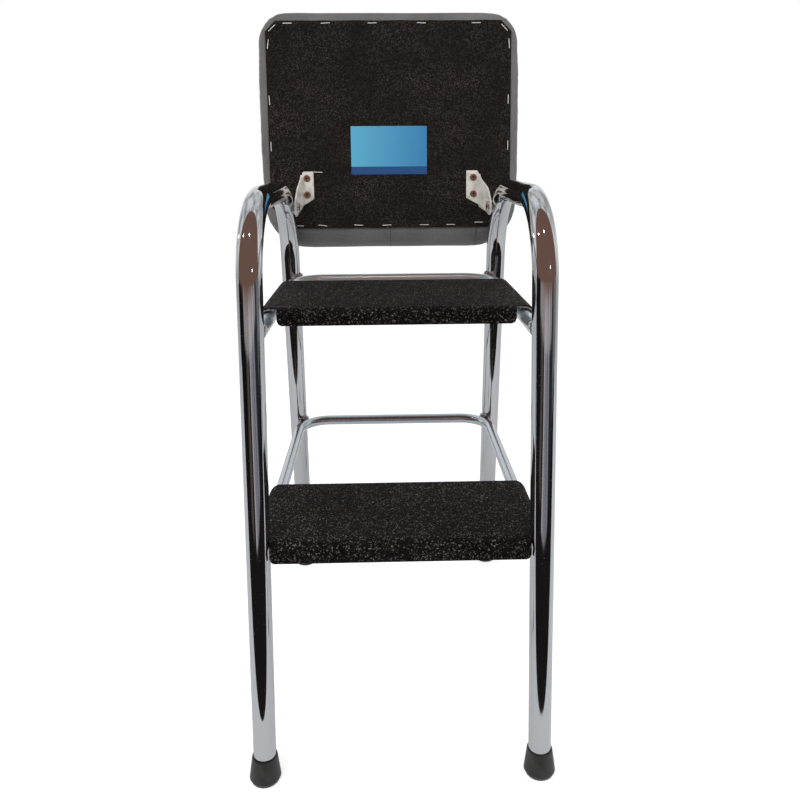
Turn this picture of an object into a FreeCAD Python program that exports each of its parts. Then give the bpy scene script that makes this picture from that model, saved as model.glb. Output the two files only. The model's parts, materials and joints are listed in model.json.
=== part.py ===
import FreeCAD, Part
import math
import os

# Folding step stool chair: two bent-tube side frames, two treads on round rails,
# and a padded seat that hinges at the rear bends. Millimetres, +Z up, front is -Y.
# The model is drawn about the middle of the four feet and moved at the end, so
# that its origin is the centre of the underside of its bounding box.

V = FreeCAD.Vector

# Main tube and the trapezium that its centreline follows
TUBE_R = 11.1
TUBE_WALL = 1.2
TOP_Z = 547.0
FOOT_HALF_WIDTH = 137.0
TOP_HALF_WIDTH = 123.0
FOOT_HALF_DEPTH = 192.5
TOP_HALF_DEPTH = 124.2
FRONT_BEND_R = 75.0
REAR_BEND_R = 90.0
TUBE_END_LIFT = 6.0

# Rubber ferrules on the four tube ends
FERRULE_SOLE_R = 13.4
FERRULE_BASE_R = 15.5
FERRULE_BEVEL_H = 4.5
FERRULE_TOP_R = 12.4
FERRULE_HEIGHT = 28.0

# Round rails under the treads
RAIL_R = 6.35
RAIL_WALL = 1.2
RAIL_BEND_R = 38.0
LOWER_RAIL_Z = 241.5
UPPER_RAIL_Z = 438.5
LOWER_ARM_X = 126.5
UPPER_ARM_X = 121.3
WELD_R = 4.2
WELD_REAR_OUT = 5.2
WELD_REAR_LIFT = 5.5
WELD_FRONT_IN = 4.0
WELD_BEHIND_LEG = 10.6
LOWER_WELD_LIFT = -4.6
UPPER_WELD_LIFT = 4.6

# Treads: a folded steel pan with a gritty rubber mat over it
PAN_T = 1.5
MAT_T = 1.5
WRAP_END_DEG = 25.0
TREAD_REACH_AHEAD_OF_LEG = 6.5
LOWER_TREAD_DEPTH = 121.0
LOWER_LIP_HALF = 119.7
LOWER_LIP_DROP = 17.5
LOWER_NOSE_R = 6.0
LOWER_REAR_CORNER_R = 10.0
UPPER_TREAD_FRONT_Y = -79.0
UPPER_TREAD_DEPTH = 150.0
UPPER_LIP_HALF = 112.5
UPPER_LIP_DROP = 14.5
UPPER_NOSE_R = 3.0
UPPER_REAR_CORNER_R = 4.0
LIP_CORNER_R = 5.0

# Seat hinge: the pivot lies on the centreline of the rear bends, and the seat's
# underside is one offset away from it. The right bracket's flange is the wider one,
# and its screws stand further in; -1 is the left side, 1 the right
PIVOT_Z = 527.0
SEAT_LEAN_DEG = 12.0
SEAT_OFFSET = 40.5
TAIL_R = 4.4
TAIL_T = 1.6
HEAD_R = 5.4
HEAD_T = 2.6
HEAD_ROUND = 1.8
HEAD_GAP = 0.15
SPACER_R = 6.5
SPACER_GAP = 0.12
PIN_R = 3.0
PIN_PLAY = 0.06
EAR_T = 2.0
EAR_OUTER_X = 111.4
EAR_R = 9.5
EAR_TOP = 43.0
FLANGE_T = 1.8
FLANGE_WIDTH = {-1: 17.7, 1: 23.0}
FLANGE_LOW_OUTER = 6.5
FLANGE_LOW_INNER = 15.5
FLANGE_TOP = 47.0
FLANGE_CHAMFER = 4.0
SCREW_POS = (20.0, 39.0)
SCREW_X = {-1: 101.5, 1: 96.8}
SCREW_HEAD_R = 3.9
SCREW_HEAD_H = 2.2
SCREW_HEAD_ROUND = 1.32
SCREW_CORE_R = 2.0
SCREW_LENGTH = 12.0
SCREW_HOLE_PLAY = 0.1
CROSS_HALF_LENGTH = 2.0
CROSS_HALF_WIDTH = 0.45
CROSS_DEPTH = 0.88

# Seat: u runs up the standing seat from the pivot, n points out of its underside
SEAT_HALF_WIDTH = 153.5
SEAT_LOW = -38.5
SEAT_HIGH = 226.5
SEAT_TOP_CORNER_R = 30.0
SEAT_LOW_CORNER_R = 54.0
SEAT_THICK = 50.0
CROWN_R = 1150.0
SHOULDER_R = 17.0
HEM_R = 5.0
ROLL_R = 28.0
VINYL_T = 1.2
VINYL_HEM = 24.0
BOARD_T = 12.0
DUST_T = 0.6
DUST_HALF_WIDTH = 143.0
DUST_LOW = -18.5
DUST_HIGH = 215.5
DUST_TOP_CHAMFER = 12.0
DUST_LOW_CHAMFER = 26.0
CARD_CENTRE_U = 71.0
CARD_CENTRE_X = -3.5
CARD_SIZE = (90.0, 55.0)
CARD_T = 0.4
STAPLE_CROWN = 11.0
STAPLE_WIRE = 0.9
STAPLE_LEG = 6.0
STAPLE_INSET = 3.0
TOP_STAPLES_X = (-117.0, -73.0, -19.0, 38.0, 102.0)
LOW_STAPLES_X = (-110.0, -82.0, -39.0, -5.0, 40.0, 72.0, 106.0)
SIDE_STAPLES_U = (28.0, 76.0, 128.0, 190.0)
STRAY_STAPLE = (-86.0, 46.5)

LEAN = math.radians(SEAT_LEAN_DEG)
LEG_SLOPE_X = (FOOT_HALF_WIDTH - TOP_HALF_WIDTH) / TOP_Z
LEG_SLOPE_Y = (FOOT_HALF_DEPTH - TOP_HALF_DEPTH) / TOP_Z
UP_TO_LEG_DEG = math.degrees(math.atan(LEG_SLOPE_Y))


def leg_x(z):
    return FOOT_HALF_WIDTH - LEG_SLOPE_X * z


def leg_y(z):
    return FOOT_HALF_DEPTH - LEG_SLOPE_Y * z


def pivot_y():
    """Depth of the rear bend's centreline at the height of the pivot."""
    turn = math.radians(90.0 - UP_TO_LEG_DEG)
    centre_y = TOP_HALF_DEPTH - REAR_BEND_R * math.tan(turn / 2)
    rise = PIVOT_Z - (TOP_Z - REAR_BEND_R)
    return centre_y + math.sqrt(REAR_BEND_R ** 2 - rise ** 2)


PIVOT_Y = pivot_y()


def annulus(centre, axis, r_out, r_in):
    """Flat ring, or a disc where r_in is 0, square to an axis."""
    outer = Part.Face(Part.Wire(Part.makeCircle(r_out, centre, axis)))
    if r_in <= 0:
        return outer
    return outer.cut(Part.Face(Part.Wire(Part.makeCircle(r_in, centre, axis))))


def bent_tube(points, radii, r_out, r_in):
    """Tube along straight runs joined by arcs, one arc at each inner point."""
    pieces = []
    start = points[0]
    for i, radius in enumerate(radii):
        corner = points[i + 1]
        before = (corner - points[i]).normalize()
        after = (points[i + 2] - corner).normalize()
        turn = before.getAngle(after)
        inset = radius * math.tan(turn / 2)
        arc_start = corner - before * inset
        arc_end = corner + after * inset
        inward = (after - before * before.dot(after)).normalize()
        centre = arc_start + inward * radius
        run = annulus(start, before, r_out, r_in).extrude(arc_start - start)
        bend_face = annulus(arc_start, before, r_out, r_in)
        bend = bend_face.revolve(centre, before.cross(after), math.degrees(turn))
        pieces.append(run)
        pieces.append(bend)
        start = arc_end
    last_dir = (points[-1] - points[-2]).normalize()
    pieces.append(annulus(start, last_dir, r_out, r_in).extrude(points[-1] - start))
    return pieces[0].multiFuse(pieces[1:]).removeSplitter()


def side_frame(side, r_in):
    """Inverted U of bent tube, its feet splayed outwards and fore and aft."""
    foot_x = side * leg_x(TUBE_END_LIFT)
    foot_y = leg_y(TUBE_END_LIFT)
    top_x = side * TOP_HALF_WIDTH
    points = [
        V(foot_x, -foot_y, TUBE_END_LIFT),
        V(top_x, -TOP_HALF_DEPTH, TOP_Z),
        V(top_x, TOP_HALF_DEPTH, TOP_Z),
        V(foot_x, foot_y, TUBE_END_LIFT),
    ]
    return bent_tube(points, [FRONT_BEND_R, REAR_BEND_R], TUBE_R, r_in)


def ferrule(side, end):
    """Rubber cup on a tube end, its base cut flat on the floor."""
    base = V(side * FOOT_HALF_WIDTH, end * FOOT_HALF_DEPTH, 0)
    axis = V(-side * LEG_SLOPE_X, -end * LEG_SLOPE_Y, 1).normalize()
    seat = TUBE_END_LIFT / axis.z
    below = -FERRULE_BEVEL_H
    outline = [
        V(0, 0, below),
        V(FERRULE_SOLE_R, 0, below),
        V(FERRULE_SOLE_R, 0, 0),
        V(FERRULE_BASE_R, 0, FERRULE_BEVEL_H),
        V(FERRULE_TOP_R, 0, FERRULE_HEIGHT),
        V(TUBE_R, 0, FERRULE_HEIGHT),
        V(TUBE_R, 0, seat),
        V(0, 0, seat),
    ]
    profile = Part.Face(Part.makePolygon(outline + [outline[0]]))
    cup = profile.revolve(V(0, 0, 0), V(0, 0, 1), 360)
    cup.Placement = FreeCAD.Placement(base, FreeCAD.Rotation(V(0, 0, 1), axis))
    reach = 4 * FERRULE_BASE_R
    above_floor = Part.makeBox(reach, reach, reach, base - V(reach / 2, reach / 2, 0))
    return cup.common(above_floor)


def rail_rear_y(z, arm_x):
    """Depth at which the rail's corners just touch the rear legs."""
    gap_x = leg_x(z) - (arm_x - RAIL_BEND_R)
    reach = RAIL_BEND_R + RAIL_R + TUBE_R
    return leg_y(z) - math.sqrt(reach ** 2 - gap_x ** 2) + RAIL_BEND_R


def step_rail(z, arm_x, legs):
    """U of thin tube inside the legs: its arms butt the front legs."""
    rear_y = rail_rear_y(z, arm_x)
    front_y = -leg_y(z)
    points = [V(-arm_x, front_y, z), V(-arm_x, rear_y, z), V(arm_x, rear_y, z), V(arm_x, front_y, z)]
    tube = bent_tube(points, [RAIL_BEND_R, RAIL_BEND_R], RAIL_R, RAIL_R - RAIL_WALL)
    for leg in legs:
        tube = tube.cut(leg)
    return largest_solid(tube)


def largest_solid(shape):
    return max(shape.Solids, key=lambda solid: solid.Volume)


def rail_welds(z, arm_x, front_lift, rail, legs):
    """Bead at each of the four places where a rail meets a leg."""
    beads = []
    corner = RAIL_BEND_R * (1 - math.sqrt(0.5))
    rear_x = arm_x - corner + WELD_REAR_OUT
    rear_y = rail_rear_y(z, arm_x) - corner + WELD_REAR_OUT
    for side in (-1, 1):
        rear_bead = V(side * rear_x, rear_y, z + WELD_REAR_LIFT)
        front_bead = V(side * (arm_x - WELD_FRONT_IN), WELD_BEHIND_LEG - leg_y(z), z + front_lift)
        for centre in (rear_bead, front_bead):
            bead = Part.makeSphere(WELD_R, centre)
            for solid in [rail] + legs:
                bead = bead.cut(solid)
            beads.append(largest_solid(bead))
    return Part.makeCompound(beads)


def wrap_section(arm_x, z, low, high):
    """XZ outline of a sheet that lies over both arms and curls round their outsides."""
    end = math.radians(WRAP_END_DEG)
    edges = []
    r_in = RAIL_R + low
    r_out = RAIL_R + high

    def on_arm(side, radius, angle):
        return V(side * (arm_x + radius * math.cos(angle)), 0, z + radius * math.sin(angle))

    def arm_arc(side, radius, first, last):
        middle = on_arm(side, radius, (first + last) / 2)
        return Part.Arc(on_arm(side, radius, first), middle, on_arm(side, radius, last)).toShape()

    top = math.pi / 2
    edges.append(arm_arc(1, r_out, -end, top))
    edges.append(Part.makeLine(on_arm(1, r_out, top), on_arm(-1, r_out, top)))
    edges.append(arm_arc(-1, r_out, top, -end))
    edges.append(Part.makeLine(on_arm(-1, r_out, -end), on_arm(-1, r_in, -end)))
    edges.append(arm_arc(-1, r_in, -end, top))
    edges.append(Part.makeLine(on_arm(-1, r_in, top), on_arm(1, r_in, top)))
    edges.append(arm_arc(1, r_in, top, -end))
    edges.append(Part.makeLine(on_arm(1, r_in, -end), on_arm(1, r_out, -end)))
    return Part.Face(Part.Wire(edges))


def lip_section(front_y, z, nose_r, drop, low, high):
    """YZ outline of the rounded nosing and the lip that hangs from it."""
    total = PAN_T + MAT_T
    centre_y = front_y + total + nose_r
    centre_z = z + RAIL_R - nose_r
    bottom = z + RAIL_R + total - drop

    def on_nose(radius, angle):
        return V(0, centre_y - radius * math.cos(angle), centre_z + radius * math.sin(angle))

    quarter = math.pi / 2
    r_in = nose_r + low
    r_out = nose_r + high
    outer_arc = Part.Arc(on_nose(r_out, quarter), on_nose(r_out, quarter / 2), on_nose(r_out, 0))
    inner_arc = Part.Arc(on_nose(r_in, 0), on_nose(r_in, quarter / 2), on_nose(r_in, quarter))
    outer_foot = V(0, centre_y - r_out, bottom)
    inner_foot = V(0, centre_y - r_in, bottom)
    edges = [
        outer_arc.toShape(),
        Part.makeLine(on_nose(r_out, 0), outer_foot),
        Part.makeLine(outer_foot, inner_foot),
        Part.makeLine(inner_foot, on_nose(r_in, 0)),
        inner_arc.toShape(),
        Part.makeLine(on_nose(r_in, quarter), on_nose(r_out, quarter)),
    ]
    return Part.Face(Part.Wire(edges))


def rounded_rectangle(half_x, low, high, low_r, high_r, at):
    """Closed wire with round corners; at(a, b) places a point of it in space."""
    marks = []
    corners = ((1, low, 1, low_r), (1, high, -1, high_r), (-1, high, -1, high_r), (-1, low, 1, low_r))
    for side, level, inward, radius in corners:
        slant = radius * (1 - math.sqrt(0.5))
        on_side = (side * half_x, level + inward * radius)
        on_level = (side * (half_x - radius), level)
        middle = (side * (half_x - slant), level + inward * slant)
        ends = (on_level, on_side) if side == inward else (on_side, on_level)
        marks.append((ends[0], middle, ends[1]))
    edges = []
    for i, (start, middle, stop) in enumerate(marks):
        edges.append(Part.Arc(at(*start), at(*middle), at(*stop)).toShape())
        edges.append(Part.makeLine(at(*stop), at(*marks[(i + 1) % 4][0])))
    return Part.Wire(edges)


def tread_layer(z, arm_x, front_y, depth, lip_half, drop, nose_r, rear_r, low, high, legs):
    """One sheet of a tread, between two heights above the rail's top."""
    nose_y = front_y + PAN_T + MAT_T + nose_r
    rear_y = front_y + depth
    section = wrap_section(arm_x, z, low, high)
    section.translate(V(0, nose_y, 0))
    flat = section.extrude(V(0, rear_y - nose_y, 0))
    plan_wire = rounded_rectangle(
        arm_x + RAIL_R + PAN_T + MAT_T + 0.5,
        nose_y - 3 * rear_r,
        rear_y,
        rear_r,
        rear_r,
        lambda x, y: V(x, y, z - 2 * RAIL_R),
    )
    flat = flat.common(Part.Face(plan_wire).extrude(V(0, 0, 4 * RAIL_R)))
    lip = lip_section(front_y, z, nose_r, drop, low, high)
    lip.translate(V(-lip_half, 0, 0))
    lip = lip.extrude(V(2 * lip_half, 0, 0))
    bottom = z + RAIL_R + PAN_T + MAT_T - drop
    front_wire = rounded_rectangle(
        lip_half,
        bottom,
        z + 4 * RAIL_R,
        LIP_CORNER_R,
        LIP_CORNER_R,
        lambda x, height: V(x, front_y - 1, height),
    )
    lip = lip.common(Part.Face(front_wire).extrude(V(0, 2 * (nose_r + PAN_T + MAT_T), 0)))
    layer = flat.fuse(lip).removeSplitter()
    for leg in legs:
        layer = layer.cut(leg)
    return largest_solid(layer)


def seat_point(x, u, n):
    """Seat coordinates to space, for the seat standing up in its rest pose."""
    out = n - SEAT_OFFSET
    y = PIVOT_Y + u * math.sin(LEAN) - out * math.cos(LEAN)
    z = PIVOT_Z + u * math.cos(LEAN) + out * math.sin(LEAN)
    return V(x, y, z)


def seat_prism(points, n_low, n_high):
    """Solid over an outline in the seat's plane, from one height to another."""
    corners = [seat_point(x, u, n_low) for x, u in points]
    face = Part.Face(Part.makePolygon(corners + [corners[0]]))
    return face.extrude(seat_point(0, 0, n_high) - seat_point(0, 0, n_low))


def seat_cylinder(x, u, n_low, n_high, radius):
    base = seat_point(x, u, n_low)
    direction = seat_point(x, u, n_high) - base
    return Part.makeCylinder(radius, direction.Length, base, direction)


def cushion(inset):
    """Padded form: domed top with soft shoulders, lower edge rolled back from the legs."""
    n_low = -DUST_T - SEAT_THICK
    outline = rounded_rectangle(
        SEAT_HALF_WIDTH - inset,
        SEAT_LOW + inset,
        SEAT_HIGH - inset,
        SEAT_LOW_CORNER_R - inset,
        SEAT_TOP_CORNER_R - inset,
        lambda x, u: seat_point(x, u, -DUST_T - inset),
    )
    inward = seat_point(0, 0, n_low) - seat_point(0, 0, 0)
    block = Part.Face(outline).extrude(inward)
    middle_u = (SEAT_LOW + SEAT_HIGH) / 2
    dome = Part.makeSphere(CROWN_R - inset, seat_point(0, middle_u, n_low + CROWN_R))
    body = block.common(dome)
    underside = seat_point(0, middle_u, 0)
    normal = inward.normalize()

    def depth(edge):
        return (edge.CenterOfMass - underside).dot(normal)

    deepest = [e for e in body.Edges if depth(e) > SEAT_THICK / 2 and not is_upright(e, normal)]
    body = body.makeFillet(SHOULDER_R - inset, deepest)
    shallow = [e for e in body.Edges if depth(e) < DUST_T + inset + 0.1]
    body = body.makeFillet(HEM_R - inset, shallow)
    axis_u = SEAT_LOW + ROLL_R
    axis_n = -DUST_T - ROLL_R
    corner = seat_prism(
        ((-200, SEAT_LOW - 9), (200, SEAT_LOW - 9), (200, axis_u), (-200, axis_u)), axis_n, 9
    )
    start = seat_point(-200, axis_u, axis_n)
    roll = Part.makeCylinder(ROLL_R - inset, 400, start, V(1, 0, 0))
    return body.cut(corner.cut(roll))


def is_upright(edge, normal):
    """True for an edge that runs along the thickness of the seat."""
    if len(edge.Vertexes) < 2:
        return False
    span = edge.Vertexes[-1].Point - edge.Vertexes[0].Point
    return span.Length > 0 and abs(span.normalize().dot(normal)) > 0.9


def seat_slab(n_low, n_high, reach=400.0):
    points = ((-reach, -reach), (reach, -reach), (reach, reach), (-reach, reach))
    return seat_prism(points, n_low, n_high)


def dust_outline():
    half = DUST_HALF_WIDTH
    low_cut = DUST_LOW_CHAMFER
    top_cut = DUST_TOP_CHAMFER
    right = (
        (half - low_cut, DUST_LOW),
        (half, DUST_LOW + low_cut),
        (half, DUST_HIGH - top_cut),
        (half - top_cut, DUST_HIGH),
    )
    return right + tuple((-x, u) for x, u in reversed(right))


def hinge_bracket(side):
    """Bent plate: a flange under the seat and an ear that reaches the pivot."""
    outer = side * EAR_OUTER_X
    inner = side * (EAR_OUTER_X - FLANGE_WIDTH[side])
    flange = seat_prism(
        (
            (outer, FLANGE_LOW_OUTER),
            (inner, FLANGE_LOW_INNER),
            (inner, FLANGE_TOP),
            (outer - side * FLANGE_CHAMFER, FLANGE_TOP),
            (outer, FLANGE_TOP - FLANGE_CHAMFER),
        ),
        0,
        FLANGE_T,
    )
    pivot = V(outer, PIVOT_Y, PIVOT_Z)
    inward = V(-side, 0, 0)
    disc = Part.makeCylinder(EAR_R, EAR_T, pivot, inward)
    upper = tangent_from(EAR_TOP, 0, 1)
    lower = tangent_from(FLANGE_LOW_OUTER, 0, -1)
    outline = [(EAR_TOP, 0), upper, (0, SEAT_OFFSET), lower, (FLANGE_LOW_OUTER, 0)]
    corners = [seat_point(outer, u, n) for u, n in outline]
    web = Part.Face(Part.makePolygon(corners + [corners[0]])).extrude(inward * EAR_T)
    bracket = flange.fuse([disc, web]).removeSplitter()
    bore = Part.makeCylinder(PIN_R + PIN_PLAY, 3 * EAR_T, pivot - inward * EAR_T, inward)
    bracket = bracket.cut(bore)
    for u in SCREW_POS:
        hole_r = SCREW_CORE_R + SCREW_HOLE_PLAY
        bracket = bracket.cut(seat_cylinder(side * SCREW_X[side], u, -1, FLANGE_T + 1, hole_r))
    return bracket


def tangent_from(u, n, turn):
    """Point where a line from (u, n) touches the round end of the ear."""
    du = u
    dn = n - SEAT_OFFSET
    distance = math.hypot(du, dn)
    angle = math.atan2(dn, du) + turn * math.acos(EAR_R / distance)
    return (EAR_R * math.cos(angle), SEAT_OFFSET + EAR_R * math.sin(angle))


def bracket_screws(side):
    """Two pan-head screws that hold a bracket to the seat board."""
    screws = []
    for u in SCREW_POS:
        x = side * SCREW_X[side]
        shank = seat_cylinder(x, u, FLANGE_T - SCREW_LENGTH, FLANGE_T, SCREW_CORE_R)
        head = seat_cylinder(x, u, FLANGE_T, FLANGE_T + SCREW_HEAD_H, SCREW_HEAD_R)
        rim = max(head.Edges, key=lambda e: (e.CenterOfMass - seat_point(x, u, -SEAT_THICK)).Length)
        head = head.makeFillet(SCREW_HEAD_ROUND, [rim])
        slot_floor = FLANGE_T + SCREW_HEAD_H - CROSS_DEPTH
        cross = (CROSS_HALF_LENGTH, CROSS_HALF_WIDTH)
        for half_x, half_u in (cross, cross[::-1]):
            outline = (
                (x - half_x, u - half_u),
                (x + half_x, u - half_u),
                (x + half_x, u + half_u),
                (x - half_x, u + half_u),
            )
            head = head.cut(seat_prism(outline, slot_floor, FLANGE_T + SCREW_HEAD_H + 1))
        screws.append(shank.fuse(head).removeSplitter())
    return screws


def hinge_pin(side):
    """Rivet through the inner wall of the tube, headed at both ends."""
    inward = V(-side, 0, 0)
    bore_r = TUBE_R - TUBE_WALL
    tail_x = leg_x(PIVOT_Z) - math.sqrt(bore_r ** 2 - TAIL_R ** 2) + TAIL_T
    head_x = EAR_OUTER_X - EAR_T - HEAD_GAP
    tail_end = V(side * tail_x, PIVOT_Y, PIVOT_Z)
    tail = Part.makeCylinder(TAIL_R, TAIL_T, tail_end, inward)
    shank = Part.makeCylinder(PIN_R, tail_x - head_x, tail_end, inward)
    head = Part.makeCylinder(HEAD_R, HEAD_T, V(side * head_x, PIVOT_Y, PIVOT_Z), inward)
    rim = min(head.Edges, key=lambda e: side * e.CenterOfMass.x)
    head = head.makeFillet(HEAD_ROUND, [rim])
    return shank.fuse([head, tail]).removeSplitter()


def hinge_spacer(side, solid_frame):
    """Shaped washer that fills in between the round tube and the flat ear."""
    outward = V(side, 0, 0)
    face = V(side * (EAR_OUTER_X + SPACER_GAP), PIVOT_Y, PIVOT_Z)
    washer = Part.makeCylinder(SPACER_R, TUBE_R / 2, face, outward)
    bore = Part.makeCylinder(PIN_R, TUBE_R, face - outward, outward)
    washer = washer.cut(bore).cut(solid_frame)
    return min(washer.Solids, key=lambda s: abs(s.CenterOfMass.x))


def staple(x, u, angle_deg):
    """Wire staple, its crown on the dust cover and its two legs in the board."""
    c = math.cos(math.radians(angle_deg))
    s = math.sin(math.radians(angle_deg))
    half = STAPLE_CROWN / 2
    wire = STAPLE_WIRE / 2

    def strip(a_low, a_high, n_low, n_high):
        corners = ((a_low, -wire), (a_high, -wire), (a_high, wire), (a_low, wire))
        outline = [(x + a * c - b * s, u + a * s + b * c) for a, b in corners]
        return seat_prism(outline, n_low, n_high)

    crown = strip(-half, half, 0, STAPLE_WIRE)
    first = strip(-half, 2 * wire - half, -STAPLE_LEG, 0)
    second = strip(half - 2 * wire, half, -STAPLE_LEG, 0)
    return crown.fuse([first, second]).removeSplitter()


def dust_staples():
    high_u = DUST_HIGH - STAPLE_INSET
    low_u = DUST_LOW + STAPLE_INSET
    corner = DUST_TOP_CHAMFER / 2 + STAPLE_INSET * math.sqrt(0.5)
    made = [staple(x, high_u, 0) for x in TOP_STAPLES_X]
    made += [staple(x, low_u, 0) for x in LOW_STAPLES_X]
    for side in (-1, 1):
        made += [staple(side * (DUST_HALF_WIDTH - STAPLE_INSET), u, 90) for u in SIDE_STAPLES_U]
        made.append(staple(side * (DUST_HALF_WIDTH - corner), DUST_HIGH - corner, -45 * side))
    made.append(staple(*STRAY_STAPLE, 0))
    return made


def build_parts():
    parts = {}
    solid_frames = [side_frame(side, 0) for side in (-1, 1)]
    names = {-1: "left", 1: "right"}
    ends = {-1: "front", 1: "rear"}
    for side, solid_frame in zip((-1, 1), solid_frames):
        hole = Part.makeCylinder(
            PIN_R,
            2 * TUBE_R,
            V(side * (TOP_HALF_WIDTH - 2 * TUBE_R), PIVOT_Y, PIVOT_Z),
            V(side, 0, 0),
        )
        frame = side_frame(side, TUBE_R - TUBE_WALL).cut(hole)
        parts["side_frame_" + names[side]] = frame
        parts["hinge_spacer_" + names[side]] = hinge_spacer(side, solid_frame)
        parts["hinge_pin_" + names[side]] = hinge_pin(side)
        parts["hinge_bracket_" + names[side]] = hinge_bracket(side)
        parts["bracket_screws_" + names[side]] = Part.makeCompound(bracket_screws(side))
        for end in (-1, 1):
            parts["foot_ferrule_" + ends[end] + "_" + names[side]] = ferrule(side, end)

    treads = {
        "lower": (
            LOWER_RAIL_Z,
            LOWER_ARM_X,
            -leg_y(LOWER_RAIL_Z) - TREAD_REACH_AHEAD_OF_LEG,
            LOWER_TREAD_DEPTH,
            LOWER_LIP_HALF,
            LOWER_LIP_DROP,
            LOWER_NOSE_R,
            LOWER_REAR_CORNER_R,
        ),
        "upper": (
            UPPER_RAIL_Z,
            UPPER_ARM_X,
            UPPER_TREAD_FRONT_Y,
            UPPER_TREAD_DEPTH,
            UPPER_LIP_HALF,
            UPPER_LIP_DROP,
            UPPER_NOSE_R,
            UPPER_REAR_CORNER_R,
        ),
    }
    weld_lift = {"lower": LOWER_WELD_LIFT, "upper": UPPER_WELD_LIFT}
    for name, sizes in treads.items():
        rail = step_rail(sizes[0], sizes[1], solid_frames)
        parts[name + "_step_rail"] = rail
        lift = weld_lift[name]
        parts[name + "_rail_welds"] = rail_welds(sizes[0], sizes[1], lift, rail, solid_frames)
        parts[name + "_tread_pan"] = tread_layer(*sizes, 0, PAN_T, solid_frames)
        parts[name + "_tread_mat"] = tread_layer(*sizes, PAN_T, PAN_T + MAT_T, solid_frames)

    inner = cushion(VINYL_T)
    hem = VINYL_HEM
    mouth = seat_prism(
        (
            (hem - SEAT_HALF_WIDTH, SEAT_LOW + 2 * hem),
            (SEAT_HALF_WIDTH - hem, SEAT_LOW + 2 * hem),
            (SEAT_HALF_WIDTH - hem, SEAT_HIGH - hem),
            (hem - SEAT_HALF_WIDTH, SEAT_HIGH - hem),
        ),
        -DUST_T - 2 * VINYL_T,
        1,
    )
    board_top = -DUST_T - VINYL_T - BOARD_T
    board = inner.common(seat_slab(board_top, 5))
    foam = inner.common(seat_slab(-2 * SEAT_THICK, board_top))
    parts["seat_cover"] = cushion(0).cut(inner).cut(mouth)
    parts["seat_foam"] = foam
    dust = seat_prism(dust_outline(), -DUST_T, 0)
    for side in (-1, 1):
        for u in SCREW_POS:
            shank = seat_cylinder(side * SCREW_X[side], u, FLANGE_T - SCREW_LENGTH, FLANGE_T, SCREW_CORE_R)
            board = board.cut(shank)
            dust = dust.cut(shank)
    parts["seat_board"] = board
    parts["dust_cover"] = dust
    parts["dust_cover_staples"] = Part.makeCompound(dust_staples())
    half_w = CARD_SIZE[0] / 2
    half_h = CARD_SIZE[1] / 2
    parts["label_card"] = seat_prism(
        (
            (CARD_CENTRE_X - half_w, CARD_CENTRE_U - half_h),
            (CARD_CENTRE_X + half_w, CARD_CENTRE_U - half_h),
            (CARD_CENTRE_X + half_w, CARD_CENTRE_U + half_h),
            (CARD_CENTRE_X - half_w, CARD_CENTRE_U + half_h),
        ),
        0,
        CARD_T,
    )
    return parts


def main():
    os.makedirs("parts", exist_ok=True)
    parts = build_parts()
    box = FreeCAD.BoundBox()
    for shape in parts.values():
        box.add(shape.optimalBoundingBox(True, False))
    shift = V(0, -(box.YMin + box.YMax) / 2, 0)
    for name, shape in parts.items():
        shape.translate(shift)
        shape.exportStep("parts/" + name + ".step")
        print(name, len(shape.Solids), shape.isValid(), round(shape.Volume))
    pivot = V(0, PIVOT_Y, PIVOT_Z) + shift
    print("size", round(box.XLength, 2), round(box.YLength, 2), round(box.ZLength, 2))
    print("box", round(box.XMin, 2), round(box.XMax, 2), round(box.ZMin, 3), round(box.ZMax, 2))
    print("shift", round(shift.y, 3), "pivot y", round(pivot.y, 3), "z", round(pivot.z, 3))


main()
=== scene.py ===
import json
import math

import bmesh
import bpy
from mathutils import Matrix, Vector, noise
from mathutils.bvhtree import BVHTree


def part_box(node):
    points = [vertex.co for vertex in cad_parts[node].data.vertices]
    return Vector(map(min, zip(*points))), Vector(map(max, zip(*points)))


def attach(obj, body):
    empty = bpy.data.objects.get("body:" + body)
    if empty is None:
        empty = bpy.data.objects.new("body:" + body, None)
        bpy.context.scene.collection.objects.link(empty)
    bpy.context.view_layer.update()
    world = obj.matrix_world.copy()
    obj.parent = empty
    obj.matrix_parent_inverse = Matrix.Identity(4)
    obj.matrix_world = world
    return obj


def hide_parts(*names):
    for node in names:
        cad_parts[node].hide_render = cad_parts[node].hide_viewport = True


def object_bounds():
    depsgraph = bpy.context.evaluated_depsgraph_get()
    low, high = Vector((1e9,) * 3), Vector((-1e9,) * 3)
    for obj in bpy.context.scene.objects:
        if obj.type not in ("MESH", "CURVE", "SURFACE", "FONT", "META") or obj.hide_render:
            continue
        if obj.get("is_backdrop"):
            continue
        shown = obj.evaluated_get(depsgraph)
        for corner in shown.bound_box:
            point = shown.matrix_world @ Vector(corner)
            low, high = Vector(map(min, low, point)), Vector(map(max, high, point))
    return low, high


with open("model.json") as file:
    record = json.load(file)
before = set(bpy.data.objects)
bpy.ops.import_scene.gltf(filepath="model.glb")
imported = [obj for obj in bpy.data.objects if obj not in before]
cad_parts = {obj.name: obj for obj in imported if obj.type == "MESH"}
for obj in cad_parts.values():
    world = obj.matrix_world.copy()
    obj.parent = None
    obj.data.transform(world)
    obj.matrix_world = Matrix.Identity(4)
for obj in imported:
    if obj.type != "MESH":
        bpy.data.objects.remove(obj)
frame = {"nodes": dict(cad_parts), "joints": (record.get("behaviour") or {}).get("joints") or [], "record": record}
cad_box = [list(corner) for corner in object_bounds()]
scene = bpy.context.scene
scene.view_settings.view_transform = "Standard"

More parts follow.
